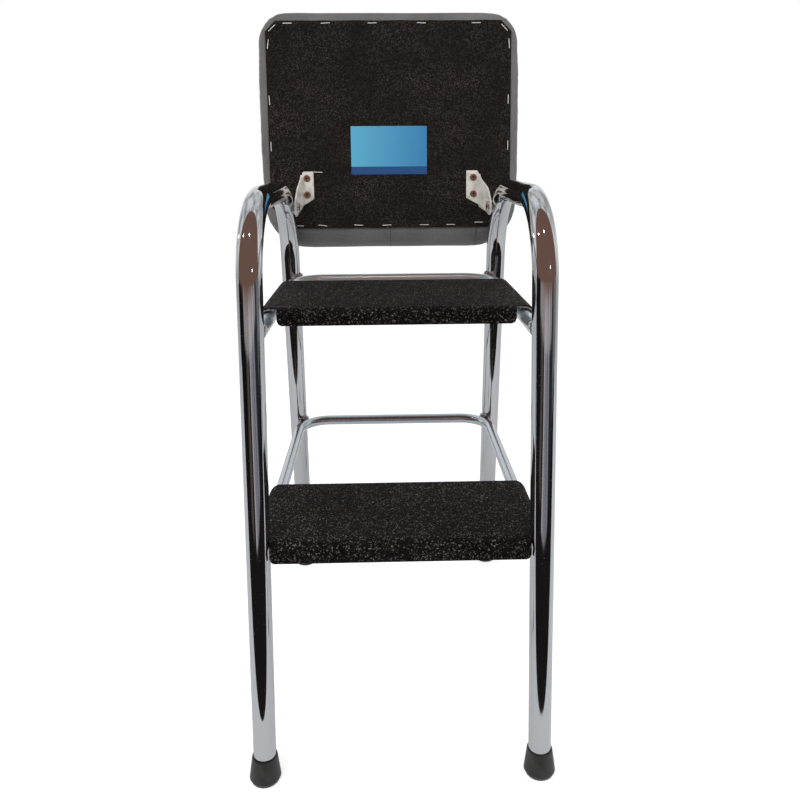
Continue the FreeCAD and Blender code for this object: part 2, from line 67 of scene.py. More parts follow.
# The folding step stool chair, in metres, in the frame of its CAD model: +Z up, front
# towards -Y. The record's floor mounts give the middle of the four feet.
feet = {m["name"]: Vector(m["pos_m"]) for m in frame["record"]["mounts"]}
foot_front = feet["floor_front_right"]
foot_rear = feet["floor_rear_right"]
foot_mid_y = (foot_front.y + foot_rear.y) / 2
foot_half_depth = (foot_rear.y - foot_front.y) / 2
foot_half_width = foot_front.x
MM = 0.001


# Camera
# It stands where the photographer's stood, a little left of the middle and as high as
# the pad's lower half, and looks down by 20 degrees.
CAMERA_AT = Vector((-12.0, -702.8, 584.9)) * MM
CAMERA_PITCH = math.radians(20.0)
CAMERA_YAW = math.radians(1.3)
CAMERA_ROLL = math.radians(0.4)
FOCAL_SHARE_OF_FRAME = 0.848

camera_data = bpy.data.cameras.new("photo_camera")
camera = bpy.data.objects.new("photo_camera", camera_data)
scene.collection.objects.link(camera)
scene.camera = camera
camera_data.sensor_fit = "HORIZONTAL"
camera_data.sensor_width = 36.0
camera_data.lens = 36.0 * FOCAL_SHARE_OF_FRAME
camera_data.clip_start = 0.01
forward = Vector(
    (
        math.sin(CAMERA_YAW) * math.cos(CAMERA_PITCH),
        math.cos(CAMERA_YAW) * math.cos(CAMERA_PITCH),
        -math.sin(CAMERA_PITCH),
    )
)
level_right = Vector((math.cos(CAMERA_YAW), -math.sin(CAMERA_YAW), 0))
level_down = forward.cross(level_right)
right = level_right * math.cos(CAMERA_ROLL) + level_down * math.sin(CAMERA_ROLL)
down = level_down * math.cos(CAMERA_ROLL) - level_right * math.sin(CAMERA_ROLL)
turn = Matrix((right, -down, -forward)).transposed().to_4x4()
camera.matrix_world = Matrix.Translation(CAMERA_AT + Vector((0, foot_mid_y, 0))) @ turn


# Studio
# A pale floor and a white surround light the stool softly. As a photographer does with
# chrome, dark cards stand in front of it and a few small lamps hang round it. Only
# mirrored light sees the cards, so they shape the metal and leave the light alone.
FLOOR_SIZE = 14.0
FLOOR_LIFT = 0.54
MIRRORED_LIFT = 0.05
SURROUND_LIGHT = 0.55


def new_material(name):
    """Node material with a Principled shader; returns it, its nodes and its shader."""
    made = bpy.data.materials.new(name)
    made.use_nodes = True
    nodes = made.node_tree.nodes
    return made, nodes, nodes["Principled BSDF"]


def placed_object(name, data):
    """Object at the origin with its data, in the scene."""
    made = bpy.data.objects.new(name, data)
    scene.collection.objects.link(made)
    return made


def mesh_object(name, vertices, faces, smooth=True):
    """Object at the origin from plain vertices and faces, its normals outwards."""
    data = bpy.data.meshes.new(name)
    data.from_pydata([tuple(v) for v in vertices], [], faces)
    data.validate()
    made = placed_object(name, data)
    work = bmesh.new()
    work.from_mesh(data)
    bmesh.ops.recalc_face_normals(work, faces=work.faces)
    for face in work.faces:
        face.smooth = smooth
    work.to_mesh(data)
    work.free()
    return made


def grid_faces(rows, columns):
    """Faces of a sheet whose points run row after row, counted in cells."""
    faces = []
    for r in range(rows):
        for c in range(columns):
            a = r * (columns + 1) + c
            faces.append((a, a + 1, a + columns + 2, a + columns + 1))
    return faces


def wire(target, **inputs):
    """Joins sockets to a node's inputs and sets plain values, by name or as in0, in1."""
    for label, value in inputs.items():
        key = int(label[2:]) if label.startswith("in") else label.replace("_", " ")
        if isinstance(value, bpy.types.NodeSocket):
            target.id_data.links.new(value, target.inputs[key])
        else:
            target.inputs[key].default_value = value
    return target


def node(nodes, kind, operation=None, **inputs):
    """New node with its operation and its inputs."""
    made = nodes.new(kind)
    if operation:
        made.operation = operation
    return wire(made, **inputs)


def maths(nodes, operation, *values):
    """Output of a Math node on numbers or sockets."""
    made = node(nodes, "ShaderNodeMath", operation)
    return wire(made, **{"in%d" % i: value for i, value in enumerate(values)}).outputs[0]


def aligned(nodes, place, way):
    """Output of a dot product: how far a place lies along a way."""
    return node(nodes, "ShaderNodeVectorMath", "DOT_PRODUCT", in0=place, in1=tuple(way)).outputs["Value"]


def spanned(nodes, value, low=0.0, high=1.0, to_low=0.0, to_high=1.0):
    """Output of a Map Range node, which holds what falls outside its span."""
    made = node(nodes, "ShaderNodeMapRange", Value=value, From_Min=low, From_Max=high)
    return wire(made, To_Min=to_low, To_Max=to_high).outputs["Result"]


def mixed(nodes, factor, first, second, blend="MIX"):
    """Output of a colour Mix node on colours or sockets."""
    made = nodes.new("ShaderNodeMix")
    made.data_type = "RGBA"
    made.blend_type = blend
    return wire(made, Factor=factor, A=first, B=second).outputs["Result"]


def ramped(nodes, share, *stops):
    """Output of a colour ramp through stops, each a place from 0 to 1 and a colour."""
    made = node(nodes, "ShaderNodeValToRGB", Fac=share)
    marks = made.color_ramp.elements
    for at, color in stops[1:-1]:
        marks.new(at).color = color + (1,)
    for mark, (at, color) in ((marks[0], stops[0]), (marks[len(marks) - 1], stops[-1])):
        mark.position = at
        mark.color = color + (1,)
    return made.outputs["Color"]


def object_place(nodes):
    """Output with the place on the object, so that a pattern stays with it."""
    return nodes.new("ShaderNodeTexCoord").outputs["Object"]


def noise_at(nodes, place, scale, detail=2.0):
    """Output of a Noise texture."""
    return node(nodes, "ShaderNodeTexNoise", Vector=place, Scale=scale, Detail=detail).outputs["Fac"]


def cells_at(nodes, place, scale, randomness=1.0):
    """Distance from the middle of each cell of a pattern, and the cell's random shares."""
    cells = node(nodes, "ShaderNodeTexVoronoi", Vector=place, Scale=scale, Randomness=randomness)
    shares = node(nodes, "ShaderNodeSeparateColor", Color=cells.outputs["Color"])
    return cells.outputs["Distance"], shares.outputs


def bumped(nodes, height, distance, strength=1.0):
    """Normal that a height gives."""
    made = node(nodes, "ShaderNodeBump", Height=height, Distance=distance, Strength=strength)
    return made.outputs["Normal"]


corners = ((-1, -1), (1, -1), (1, 1), (-1, 1))
floor_at = [(x * FLOOR_SIZE, y * FLOOR_SIZE, 0) for x, y in corners]
floor = mesh_object("floor", floor_at, [(0, 1, 2, 3)], False)
pale_floor, nodes, shader = new_material("pale_floor")
rays = nodes.new("ShaderNodeLightPath").outputs
mirrored = maths(nodes, "MULTIPLY", rays["Is Glossy Ray"], MIRRORED_LIFT)
wire(
    shader,
    Base_Color=(0.86, 0.86, 0.86, 1),
    Roughness=0.9,
    Specular_IOR_Level=0.0,
    Emission_Color=(1, 1, 1, 1),
    Emission_Strength=maths(nodes, "MULTIPLY_ADD", rays["Is Camera Ray"], FLOOR_LIFT, mirrored),
)
floor.data.materials.append(pale_floor)
floor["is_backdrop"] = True

world = bpy.data.worlds.new("white_surround")
scene.world = world
world.use_nodes = True
nodes = world.node_tree.nodes
rays = nodes.new("ShaderNodeLightPath").outputs
seen = maths(nodes, "MAXIMUM", rays["Is Camera Ray"], rays["Is Glossy Ray"])
through = maths(nodes, "MAXIMUM", seen, rays["Is Transmission Ray"])
# What the metal mirrors of the surround is uneven, like the walls of a bright room
toward = nodes.new("ShaderNodeTexCoord").outputs["Generated"]
walls = spanned(nodes, noise_at(nodes, toward, 2.6, 3.0), 0.38, 0.58, 0.45, 1.05)
wire(
    nodes["Background"],
    Color=mixed(nodes, rays["Is Glossy Ray"], (1, 1, 1, 1), walls),
    Strength=spanned(nodes, through, to_low=SURROUND_LIGHT),
)


def soft_lamp(name, place, target, size, power):
    """Wide lamp in watts, aimed at a place, that metal doesn't mirror."""
    data = bpy.data.lights.new(name, "AREA")
    data.shape = "RECTANGLE"
    data.size = size[0]
    data.size_y = size[1]
    data.energy = power
    lamp = placed_object(name, data)
    aim = Vector(target) - Vector(place)
    lamp.matrix_world = Matrix.Translation(place) @ aim.to_track_quat("-Z", "Y").to_matrix().to_4x4()
    lamp.visible_glossy = False


soft_lamp("key_lamp", (-1.3, -1.9, 2.3), (0, 0, 0.4), (1.2, 1.2), 34)
soft_lamp("fill_lamp", (1.9, -1.2, 1.5), (0, 0, 0.4), (1.2, 1.6), 16)

# The room in front, by heading in degrees: 0 looks from the stool to the camera
CARD_REACH = 3.0
NEAR_EDGE_Y = -0.33
FAR_EDGE_Y = -0.95
BLACK = (0.010, 0.010, 0.011)
ROOM_BY_HEADING = (
    (-90, BLACK),
    (-38, (0.13, 0.10, 0.08)),
    (-20, BLACK),
    (-13, (0.72, 0.66, 0.66)),
    (-3, (0.30, 0.29, 0.33)),
    (33, (0.030, 0.032, 0.036)),
    (62, (0.27, 0.27, 0.28)),
)
BROWN_CEILING = (0.23, 0.13, 0.096)
HORIZON_GLOW = (0.90, 0.80, 0.78)
GLOW_SHARE = 0.5
BAND_SOFTNESS = 0.006
CARD_LIFT = 0.001


def room_material(name, on_floor):
    """Glowing card painted like a dim room: bands by heading, a bright skyline, brown above."""
    made, nodes, shader = new_material(name)
    nodes.remove(shader)
    place = nodes.new("ShaderNodeNewGeometry").outputs["Position"]
    axes = node(nodes, "ShaderNodeSeparateXYZ", Vector=place).outputs
    ahead = maths(nodes, "MULTIPLY", axes["Y"], -1.0)
    heading = maths(nodes, "ARCTAN2", axes["X"], ahead)
    share = spanned(nodes, heading, -math.pi / 2, math.pi / 2)
    streaks = nodes.new("ShaderNodeTexNoise")
    streaks.noise_dimensions = "1D"
    streak = wire(streaks, W=share, Scale=38.0, Detail=3.0).outputs["Fac"]
    wander = maths(nodes, "MULTIPLY_ADD", streak, 0.05, -0.025)
    bands = [(0.0, ROOM_BY_HEADING[0][1])]
    for (before, color), (start, after) in zip(ROOM_BY_HEADING, ROOM_BY_HEADING[1:]):
        at = (start + 90) / 180
        bands += [(at - BAND_SOFTNESS, color), (at + BAND_SOFTNESS, after)]
    bands.append((1.0, ROOM_BY_HEADING[-1][1]))
    painted = ramped(nodes, maths(nodes, "ADD", wander, share), *bands)
    grain = spanned(nodes, streak, 0.3, 0.7, 0.15, 1.7)
    toned = mixed(nodes, 1.0, painted, grain, "MULTIPLY")
    if on_floor:
        far = spanned(nodes, axes["Y"], FAR_EDGE_Y + 0.03, FAR_EDGE_Y - 0.03)
        shown = mixed(nodes, far, (0.016, 0.013, 0.013, 1), toned)
    else:
        above = node(nodes, "ShaderNodeMapRange", Value=axes["Z"], From_Min=0.46, From_Max=0.74)
        above.interpolation_type = "SMOOTHSTEP"
        low_edge = spanned(nodes, axes["Z"], 0.30, 0.36)
        lit = maths(nodes, "MULTIPLY", low_edge, spanned(nodes, ahead, 1.9, 2.0))
        skyline = mixed(nodes, 1.0, HORIZON_GLOW + (1,), grain, "MULTIPLY")
        below = mixed(nodes, maths(nodes, "MULTIPLY", lit, GLOW_SHARE), toned, skyline)
        shown = mixed(nodes, above.outputs["Result"], below, BROWN_CEILING + (1,))
    shine = node(nodes, "ShaderNodeEmission", Color=shown)
    wire(nodes["Material Output"], Surface=shine.outputs[0])
    return made


def mirror_only(piece):
    """Stage piece that only mirrored light sees."""
    piece.visible_camera = False
    piece.visible_diffuse = False
    piece.visible_transmission = False
    piece.visible_volume_scatter = False
    piece.visible_shadow = False
    piece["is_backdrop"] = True


card_edge = [
    (-CARD_REACH, NEAR_EDGE_Y, CARD_LIFT),
    (CARD_REACH, NEAR_EDGE_Y, CARD_LIFT),
    (CARD_REACH, -CARD_REACH, CARD_LIFT),
    (-CARD_REACH, -CARD_REACH, CARD_LIFT),
]
card = mesh_object("dark_floor_card", card_edge, [(0, 1, 2, 3)], False)
card.data.materials.append(room_material("dim_floor", True))
mirror_only(card)

STEPS = 40
LAST_TILT = math.radians(95)
shroud_at = []
for i in range(STEPS + 1):
    tilt = LAST_TILT * i / STEPS
    for j in range(STEPS + 1):
        sweep = math.radians(-89 + 178 * j / STEPS)
        out = CARD_REACH * math.cos(sweep)
        shroud_at.append((CARD_REACH * math.sin(sweep), -out * math.cos(tilt), out * math.sin(tilt)))
shroud = mesh_object("dark_room_card", shroud_at, grid_faces(STEPS, STEPS))
shroud.data.materials.append(room_material("dim_room", False))
mirror_only(shroud)

BULB_STRENGTH = 30.0
BULBS = (
    ("ceiling_bulb", (0.0, -0.87, 2.1), 0.050),
    ("right_bulb", (1.35, -1.92, 1.25), 0.045),
    ("left_bulb", (-1.60, -0.58, 2.2), 0.050),
    ("back_bulb", (-2.15, 0.96, 1.2), 0.045),
)


def from_bmesh(name, work):
    """Object at the origin from a bmesh, which is freed."""
    data = bpy.data.meshes.new(name)
    work.to_mesh(data)
    work.free()
    return placed_object(name, data)


lamp_glow, nodes, shader = new_material("small_lamp_glow")
nodes.remove(shader)
shine = node(nodes, "ShaderNodeEmission", Strength=BULB_STRENGTH)
wire(nodes["Material Output"], Surface=shine.outputs[0])
for name, place, size in BULBS:
    work = bmesh.new()
    bmesh.ops.create_icosphere(work, subdivisions=3, radius=size)
    bmesh.ops.translate(work, verts=work.verts, vec=place)
    bulb = from_bmesh(name, work)
    bulb.data.materials.append(lamp_glow)
    mirror_only(bulb)


# Side frames
# Each is one length of 7/8 inch steel tube, bent twice into an upside-down U and
# chromed after bending. Its legs splay outwards, and fore and aft.
TUBE_R = 11.1 * MM
FRONT_BEND_R = 75.0 * MM
REAR_BEND_R = 90.0 * MM
TOP_HALF_WIDTH = 123.0 * MM
TOP_HALF_DEPTH = 124.2 * MM
TUBE_END_LIFT = 6.0 * MM
top_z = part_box("side_frame_right")[1].z - TUBE_R


def rounded_path(points, radii, step):
    """Points along straight runs and the arcs that join them, and their tangents."""
    line = []
    start = Vector(points[0])
    for i, radius in enumerate(radii):
        corner = Vector(points[i + 1])
        before = (corner - Vector(points[i])).normalized()
        after = (Vector(points[i + 2]) - corner).normalized()
        angle = before.angle(after)
        inset = radius * math.tan(angle / 2)
        first = corner - before * inset
        inward = (after - before * before.dot(after)).normalized()
        centre = first + inward * radius
        run = (first - start).length
        count = max(1, round(run / (6 * step)))
        for k in range(count):
            line.append((start.lerp(first, k / count), before))
        count = max(6, round(radius * angle / step))
        for k in range(count):
            a = angle * k / count
            spot = centre - inward * radius * math.cos(a) + before * radius * math.sin(a)
            line.append((spot, before * math.cos(a) + inward * math.sin(a)))
        start = corner + after * inset
    last = Vector(points[-1])
    heading = (last - start).normalized()
    count = max(1, round((last - start).length / (6 * step)))
    for k in range(count + 1):
        line.append((start.lerp(last, k / count), heading))
    return line


def ring_faces(rings, sides):
    """Faces of a closed round form whose points run ring after ring, with its two ends."""
    faces = []
    for i in range(rings - 1):
        for k in range(sides):
            j = (k + 1) % sides
            faces.append((i * sides + k, i * sides + j, (i + 1) * sides + j, (i + 1) * sides + k))
    faces.append(tuple(range(sides)))
    faces.append(tuple(range((rings - 1) * sides, rings * sides)))
    return faces


def swept_tube(name, line, radius, sides):
    """Closed round bar along a path."""
    vertices = []
    side_way = line[0][1].orthogonal().normalized()
    for spot, tangent in line:
        side_way = (side_way - tangent * tangent.dot(side_way)).normalized()
        other_way = tangent.cross(side_way)
        for k in range(sides):
            a = 2 * math.pi * k / sides
            vertices.append(spot + (side_way * math.cos(a) + other_way * math.sin(a)) * radius)
    made = mesh_object(name, vertices, ring_faces(len(line), sides))
    made.data.set_sharp_from_angle(angle=math.radians(50))
    return made


def chrome_wear_group():
    """Plating seen close: faint waves of the tube, dull patches and pinhole pits."""
    group = bpy.data.node_groups.new("chrome_wear", "ShaderNodeTree")
    for label, kind in (("Waves", "Float"), ("Pits", "Float"), ("Polish", "Float"), ("Plating", "Color")):
        group.interface.new_socket(label, in_out="INPUT", socket_type="NodeSocket" + kind)
    for label, kind in (("Color", "Color"), ("Roughness", "Float"), ("Height", "Float")):
        group.interface.new_socket(label, in_out="OUTPUT", socket_type="NodeSocket" + kind)
    nodes = group.nodes
    given = nodes.new("NodeGroupInput").outputs
    place = object_place(nodes)
    stretch = node(nodes, "ShaderNodeMapping", Vector=place, Scale=(1.0, 1.0, 0.35))
    waves = noise_at(nodes, stretch.outputs["Vector"], 45.0)
    distance, shares = cells_at(nodes, place, 620.0)
    chosen = maths(nodes, "GREATER_THAN", shares["Red"], 0.93)
    pit = maths(nodes, "MULTIPLY", spanned(nodes, distance, 0.10, 0.22, 1.0, 0.0), chosen)
    pits = maths(nodes, "MULTIPLY", pit, given["Pits"])
    dull = spanned(nodes, noise_at(nodes, place, 22.0, 5.0), 0.45, 0.75, 0.0, 0.05)
    rough = maths(nodes, "ADD", dull, given["Polish"])
    swell = maths(nodes, "MULTIPLY", waves, given["Waves"])
    wire(
        nodes.new("NodeGroupOutput"),
        Color=mixed(nodes, pits, given["Plating"], (0.50, 0.47, 0.45, 1)),
        Roughness=maths(nodes, "MULTIPLY_ADD", pits, 0.4, rough),
        Height=maths(nodes, "MULTIPLY_ADD", pits, -0.6, swell),
    )
    return group


chrome_wear = chrome_wear_group()
PLATING = (0.53, 0.545, 0.57)


def chrome_material(name, waves, pits, polish, height=0.03 * MM, plating=PLATING):
    """Chromed steel, by how wavy, pitted and rough it is and its colour, which set paler than real chrome is
    painted light.
    """
    made, nodes, shader = new_material(name)
    wear = nodes.new("ShaderNodeGroup")
    wear.node_tree = chrome_wear
    wire(wear, Waves=waves, Pits=pits, Polish=polish, Plating=plating + (1,))
    wire(
        shader,
        Base_Color=wear.outputs["Color"],
        Roughness=wear.outputs["Roughness"],
        Normal=bumped(nodes, wear.outputs["Height"], height),
        Metallic=1.0,
    )
    return made


bright_chrome = chrome_material("bright_chrome", 0.15, 0.8, 0.05)


def leg_at(side, end, height):
    """Point on the centreline of a leg at a height, before it bends."""
    share = height / top_z
    x = foot_half_width + (TOP_HALF_WIDTH - foot_half_width) * share
    y = foot_half_depth + (TOP_HALF_DEPTH - foot_half_depth) * share
    return Vector((side * x, foot_mid_y + end * y, height))


SIDES = ((-1, "left"), (1, "right"))
for side, side_name in SIDES:
    bends = [
        leg_at(side, -1, TUBE_END_LIFT),
        Vector((side * TOP_HALF_WIDTH, foot_mid_y - TOP_HALF_DEPTH, top_z)),
        Vector((side * TOP_HALF_WIDTH, foot_mid_y + TOP_HALF_DEPTH, top_z)),
        leg_at(side, 1, TUBE_END_LIFT),
    ]
    line = rounded_path(bends, [FRONT_BEND_R, REAR_BEND_R], 2.5 * MM)
    tube = swept_tube("chrome_frame_" + side_name, line, TUBE_R, 64)
    tube.data.materials.append(bright_chrome)
    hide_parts("side_frame_" + side_name)
    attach(tube, "frame")


# Ferrules
# A moulded black rubber cup is pushed on each tube end. Its wall tapers up to a thin
# lip, and a bevelled sole flares out at the floor.
SOLE_R = 13.4 * MM
FLARE_R = 15.5 * MM
FLARE_H = 4.5 * MM
CUP_TOP_R = 12.4 * MM
CUP_HEIGHT = 28.0 * MM


def lathed(name, profile, base, axis, sides=72):
    """Turned piece: profile is (radius, height) pairs, closed at both ends."""
    turn = axis.to_track_quat("Z", "Y").to_matrix()
    vertices = []
    for radius, height in profile:
        for k in range(sides):
            a = 2 * math.pi * k / sides
            vertices.append(base + turn @ Vector((radius * math.cos(a), radius * math.sin(a), height)))
    made = mesh_object(name, vertices, ring_faces(len(profile), sides))
    made.data.set_sharp_from_angle(angle=math.radians(38))
    return made


def rubber_material():
    """Black rubber with a faint bloom and a fine skin."""
    made, nodes, shader = new_material("black_rubber")
    place = object_place(nodes)
    bloom = noise_at(nodes, place, 90.0, 6.0)
    wire(
        shader,
        Base_Color=ramped(nodes, bloom, (0.35, (0.008, 0.008, 0.008)), (0.75, (0.030, 0.029, 0.028))),
        Normal=bumped(nodes, noise_at(nodes, place, 900.0), 0.1 * MM, 0.6),
        Roughness=0.42,
    )
    return made


black_rubber = rubber_material()
for side, side_name in SIDES:
    for end, end_name in ((-1, "front"), (1, "rear")):
        base = leg_at(side, end, 0)
        axis = (leg_at(side, end, 1) - base).normalized()
        profile = [
            (SOLE_R - 3.0 * MM, 0.0),
            (SOLE_R, 0.0),
            (SOLE_R + 0.35 * MM, 0.5 * MM),
            (FLARE_R - 0.5 * MM, FLARE_H - 1.0 * MM),
            (FLARE_R, FLARE_H - 0.2 * MM),
            (FLARE_R - 0.15 * MM, FLARE_H + 0.7 * MM),
            (CUP_TOP_R + 0.15 * MM, CUP_HEIGHT - 1.2 * MM),
            (CUP_TOP_R, CUP_HEIGHT - 0.4 * MM),
            (CUP_TOP_R - 0.4 * MM, CUP_HEIGHT),
            (TUBE_R, CUP_HEIGHT),
        ]
        cup = lathed("ferrule_%s_%s" % (end_name, side_name), profile, base, axis)
        for vertex in cup.data.vertices:
            vertex.co.z = max(vertex.co.z, 0.0)
        cup.data.materials.append(black_rubber)
        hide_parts("foot_ferrule_%s_%s" % (end_name, side_name))
        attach(cup, "frame")


# Step rails
# Half-inch tube bent into a U lies level between the legs. Its two arms butt the
# front legs, its corners touch the rear legs, and it is welded there and chromed.
RAIL_R = 6.35 * MM
RAIL_BEND_R = 38.0 * MM
ARM_X = {"lower": 126.5 * MM, "upper": 121.3 * MM}
# The upper rail's colour is set far paler and bluer than the frame's chrome: painted light that brightens it.
rail_chrome = {
    "lower": chrome_material("lower_rail_chrome", 0.5, 0.5, 0.22, plating=(0.50, 0.54, 0.58)),
    "upper": chrome_material("upper_rail_chrome", 0.3, 0.3, 0.36, plating=(0.78, 0.86, 0.92)),
}
rail_z = {}
rail_rear_y = {}
for level_name in ("lower", "upper"):
    low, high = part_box(level_name + "_step_rail")
    z = (low.z + high.z) / 2
    rear_y = high.y - RAIL_R
    rail_z[level_name] = z
    rail_rear_y[level_name] = rear_y
    arm_x = ARM_X[level_name]
    front_y = leg_at(1, -1, z).y + TUBE_R * 0.8
    corners = [
        Vector((-arm_x, front_y, z)),
        Vector((-arm_x, rear_y, z)),
        Vector((arm_x, rear_y, z)),
        Vector((arm_x, front_y, z)),
    ]
    line = rounded_path(corners, [RAIL_BEND_R, RAIL_BEND_R], 1.8 * MM)
    rail = swept_tube("rail_" + level_name, line, RAIL_R, 40)
    rail.data.materials.append(rail_chrome[level_name])
    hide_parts(level_name + "_step_rail")
    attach(rail, "frame")


# Weld beads
# A short run of weld holds each rail to each leg it meets. The beads are lumpy, and
# the plating over them is dull.
WELD_R = 4.4 * MM
WELD_REAR_OUT = 5.2 * MM
WELD_REAR_LIFT = 5.5 * MM
WELD_FRONT_IN = 4.0 * MM
WELD_BEHIND_LEG = 10.6 * MM
WELD_LIFT = {"lower": -4.6 * MM, "upper": 4.6 * MM}


def weld_bead(name, spots):
    """Lumpy beads of weld at the spots, as one piece."""
    work = bmesh.new()
    for spot in spots:
        lump = bmesh.ops.create_icosphere(work, subdivisions=4, radius=WELD_R)["verts"]
        for vertex in lump:
            ripple = noise.noise(vertex.co * 900 + Vector(spot) * 50)
            vertex.co *= 1 + 0.10 * ripple
            vertex.co += Vector(spot)
    made = from_bmesh(name, work)
    for polygon in made.data.polygons:
        polygon.use_smooth = True
    return made


weld_chrome = chrome_material("weld_chrome", 1.0, 1.0, 0.22, 0.3 * MM)
for level_name in ("lower", "upper"):
    z = rail_z[level_name]
    arm_x = ARM_X[level_name]
    cut = RAIL_BEND_R * (1 - math.sqrt(0.5))
    spots = []
    for side in (-1, 1):
        out = WELD_REAR_OUT - cut
        spots.append((side * (arm_x + out), rail_rear_y[level_name] + out, z + WELD_REAR_LIFT))
        behind_y = leg_at(1, -1, z).y + WELD_BEHIND_LEG
        spots.append((side * (arm_x - WELD_FRONT_IN), behind_y, z + WELD_LIFT[level_name]))
    beads = weld_bead("welds_" + level_name, spots)
    beads.data.materials.append(weld_chrome)
    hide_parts(level_name + "_rail_welds")
    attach(beads, "frame")


# Treads
# A folded steel pan lies over both arms of its rail and curls round them. A rubber
# mat loaded with coarse black grit is bonded over it and turns down over the front.
PAN_T = 1.5 * MM
MAT_T = 1.5 * MM
WRAP_END = math.radians(25)
LIP_CORNER_R = 5.0 * MM
NOSING_REACH = 0.005
FULL_TURN = 6.28
TREADS = {
    "lower": {"lip_half": 119.7 * MM, "drop": 17.5 * MM, "nose_r": 6.0 * MM, "corner_r": 10.0 * MM},
    "upper": {"lip_half": 112.5 * MM, "drop": 14.5 * MM, "nose_r": 3.0 * MM, "corner_r": 4.0 * MM},
}


def tread_columns(arm_x, lip_half, offset):
    """Stations across the tread: (x, rise above the rail's axis) of one sheet."""
    radius = RAIL_R + offset
    stations = []
    curl = 14
    for k in range(curl):
        a = -WRAP_END + (math.pi / 2 + WRAP_END) * k / curl
        stations.append((-arm_x - radius * math.cos(a), radius * math.sin(a)))
    outer = 8
    for k in range(outer):
        stations.append((-arm_x + (arm_x - lip_half) * k / outer, radius))
    middle = 200
    for k in range(middle + 1):
        stations.append((-lip_half + 2 * lip_half * k / middle, radius))
    mirrored = [(-x, rise) for x, rise in reversed(stations[: curl + outer])]
    return stations + mirrored, curl + outer, curl + outer + middle


def finished(made):
    """Applies what modifiers a piece has and shades it smooth."""
    bpy.context.view_layer.update()
    data = bpy.data.meshes.new_from_object(made.evaluated_get(bpy.context.evaluated_depsgraph_get()))
    made.modifiers.clear()
    made.data = data
    for polygon in data.polygons:
        polygon.use_smooth = True
    data.set_sharp_from_angle(angle=math.radians(50))
    return made


def thickened(made, thickness, offset=-1.0):
    """Turns a sheet into a solid, from its face inwards unless offset says otherwise."""
    shell = made.modifiers.new("thickness", "SOLIDIFY")
    shell.thickness = thickness
    shell.offset = offset


def softened(made, width):
    """Rounds a piece's edges a little."""
    soften = made.modifiers.new("soft_edges", "BEVEL")
    soften.width = width
    soften.segments = 2
    soften.limit_method = "ANGLE"
    soften.angle_limit = math.radians(50)


def tread_sheet(name, level_name, offset, thickness):
    """One sheet of a tread as a closed solid, its upper face offset from the rail."""
    sizes = TREADS[level_name]
    low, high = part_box(level_name + "_tread_mat")
    z = rail_z[level_name]
    columns, first, last = tread_columns(ARM_X[level_name], sizes["lip_half"], offset)
    total = PAN_T + MAT_T
    nose_r = sizes["nose_r"] + offset
    nose_y = low.y + total + sizes["nose_r"]
    nose_z = z + RAIL_R - sizes["nose_r"]
    bottom = z + RAIL_R + total - sizes["drop"]
    edge_x = high.x
    corner_r = sizes["corner_r"]
    rows = 90
    vertices = []
    width = len(columns)
    for r in range(rows + 1):
        for x, rise in columns:
            beyond = max(0.0, abs(x) - (edge_x - corner_r))
            back = high.y - corner_r + math.sqrt(max(0.0, corner_r ** 2 - beyond ** 2))
            share = r / rows
            vertices.append((x, back + (nose_y - back) * share, z + rise))
    faces = grid_faces(rows, width - 1)
    above = [rows * width + c for c in range(first, last + 1)]
    turns = 10
    falls = 10
    for r in range(1, turns + falls + 1):
        row = []
        for c in range(first, last + 1):
            x = columns[c][0]
            beyond = max(0.0, abs(x) - (sizes["lip_half"] - LIP_CORNER_R))
            foot = bottom + LIP_CORNER_R - math.sqrt(max(0.0, LIP_CORNER_R ** 2 - beyond ** 2))
            if r <= turns:
                a = math.pi / 2 * r / turns
                spot = (x, nose_y - nose_r * math.sin(a), nose_z + nose_r * math.cos(a))
            else:
                share = (r - turns) / falls
                spot = (x, nose_y - nose_r, nose_z + (foot - nose_z) * share)
            row.append(len(vertices))
            vertices.append(spot)
        for k in range(len(row) - 1):
            faces.append((above[k], above[k + 1], row[k + 1], row[k]))
        above = row
    data = bpy.data.meshes.new(name)
    data.from_pydata(vertices, [], faces)
    made = placed_object(name, data)
    if data.polygons[0].normal.z < 0:
        data.flip_normals()
    thickened(made, thickness)
    softened(made, min(0.5 * MM, thickness / 3))
    return finished(made)


def grit_material():
    """Black rubber packed with fine mineral grit, mostly dull, its palest cells painted glints."""
    made, nodes, shader = new_material("grit_mat")
    place = object_place(nodes)
    distance, shares = cells_at(nodes, place, 1000.0)
    # The darker cells are the grit's own colour; the palest, up to 0.15, are painted glints.
    grains_and_glints = ramped(
        nodes,
        shares["Red"],
        (0.0, (0.0015, 0.0015, 0.0017)),
        (0.62, (0.0042, 0.0040, 0.0040)),
        (0.88, (0.016, 0.0145, 0.014)),
        (1.0, (0.150, 0.138, 0.128)),
    )
    worn = spanned(nodes, noise_at(nodes, place, 14.0, 3.0), 0.35, 0.70, 0.7, 1.4)
    dents = node(nodes, "ShaderNodeBump", Height=distance, Distance=0.5 * MM, Strength=0.8)
    dents.invert = True
    wire(
        shader,
        Base_Color=mixed(nodes, 1.0, grains_and_glints, worn, "MULTIPLY"),
        Normal=dents.outputs["Normal"],
        Roughness=0.7,
        Specular_IOR_Level=0.12,
    )
    return made


def glint_material():
    """Flakes of mineral in the grit, from warm grey to nearly white."""
    made, nodes, shader = new_material("grit_glint")
    shares = cells_at(nodes, object_place(nodes), 400.0)[1]
    wire(
        shader,
        Base_Color=ramped(nodes, shares["Red"], (0.0, (0.16, 0.12, 0.09)), (1.0, (0.62, 0.62, 0.64))),
        Roughness=spanned(nodes, shares["Blue"], to_low=0.25, to_high=0.6),
        Metallic=0.4,
    )
    return made


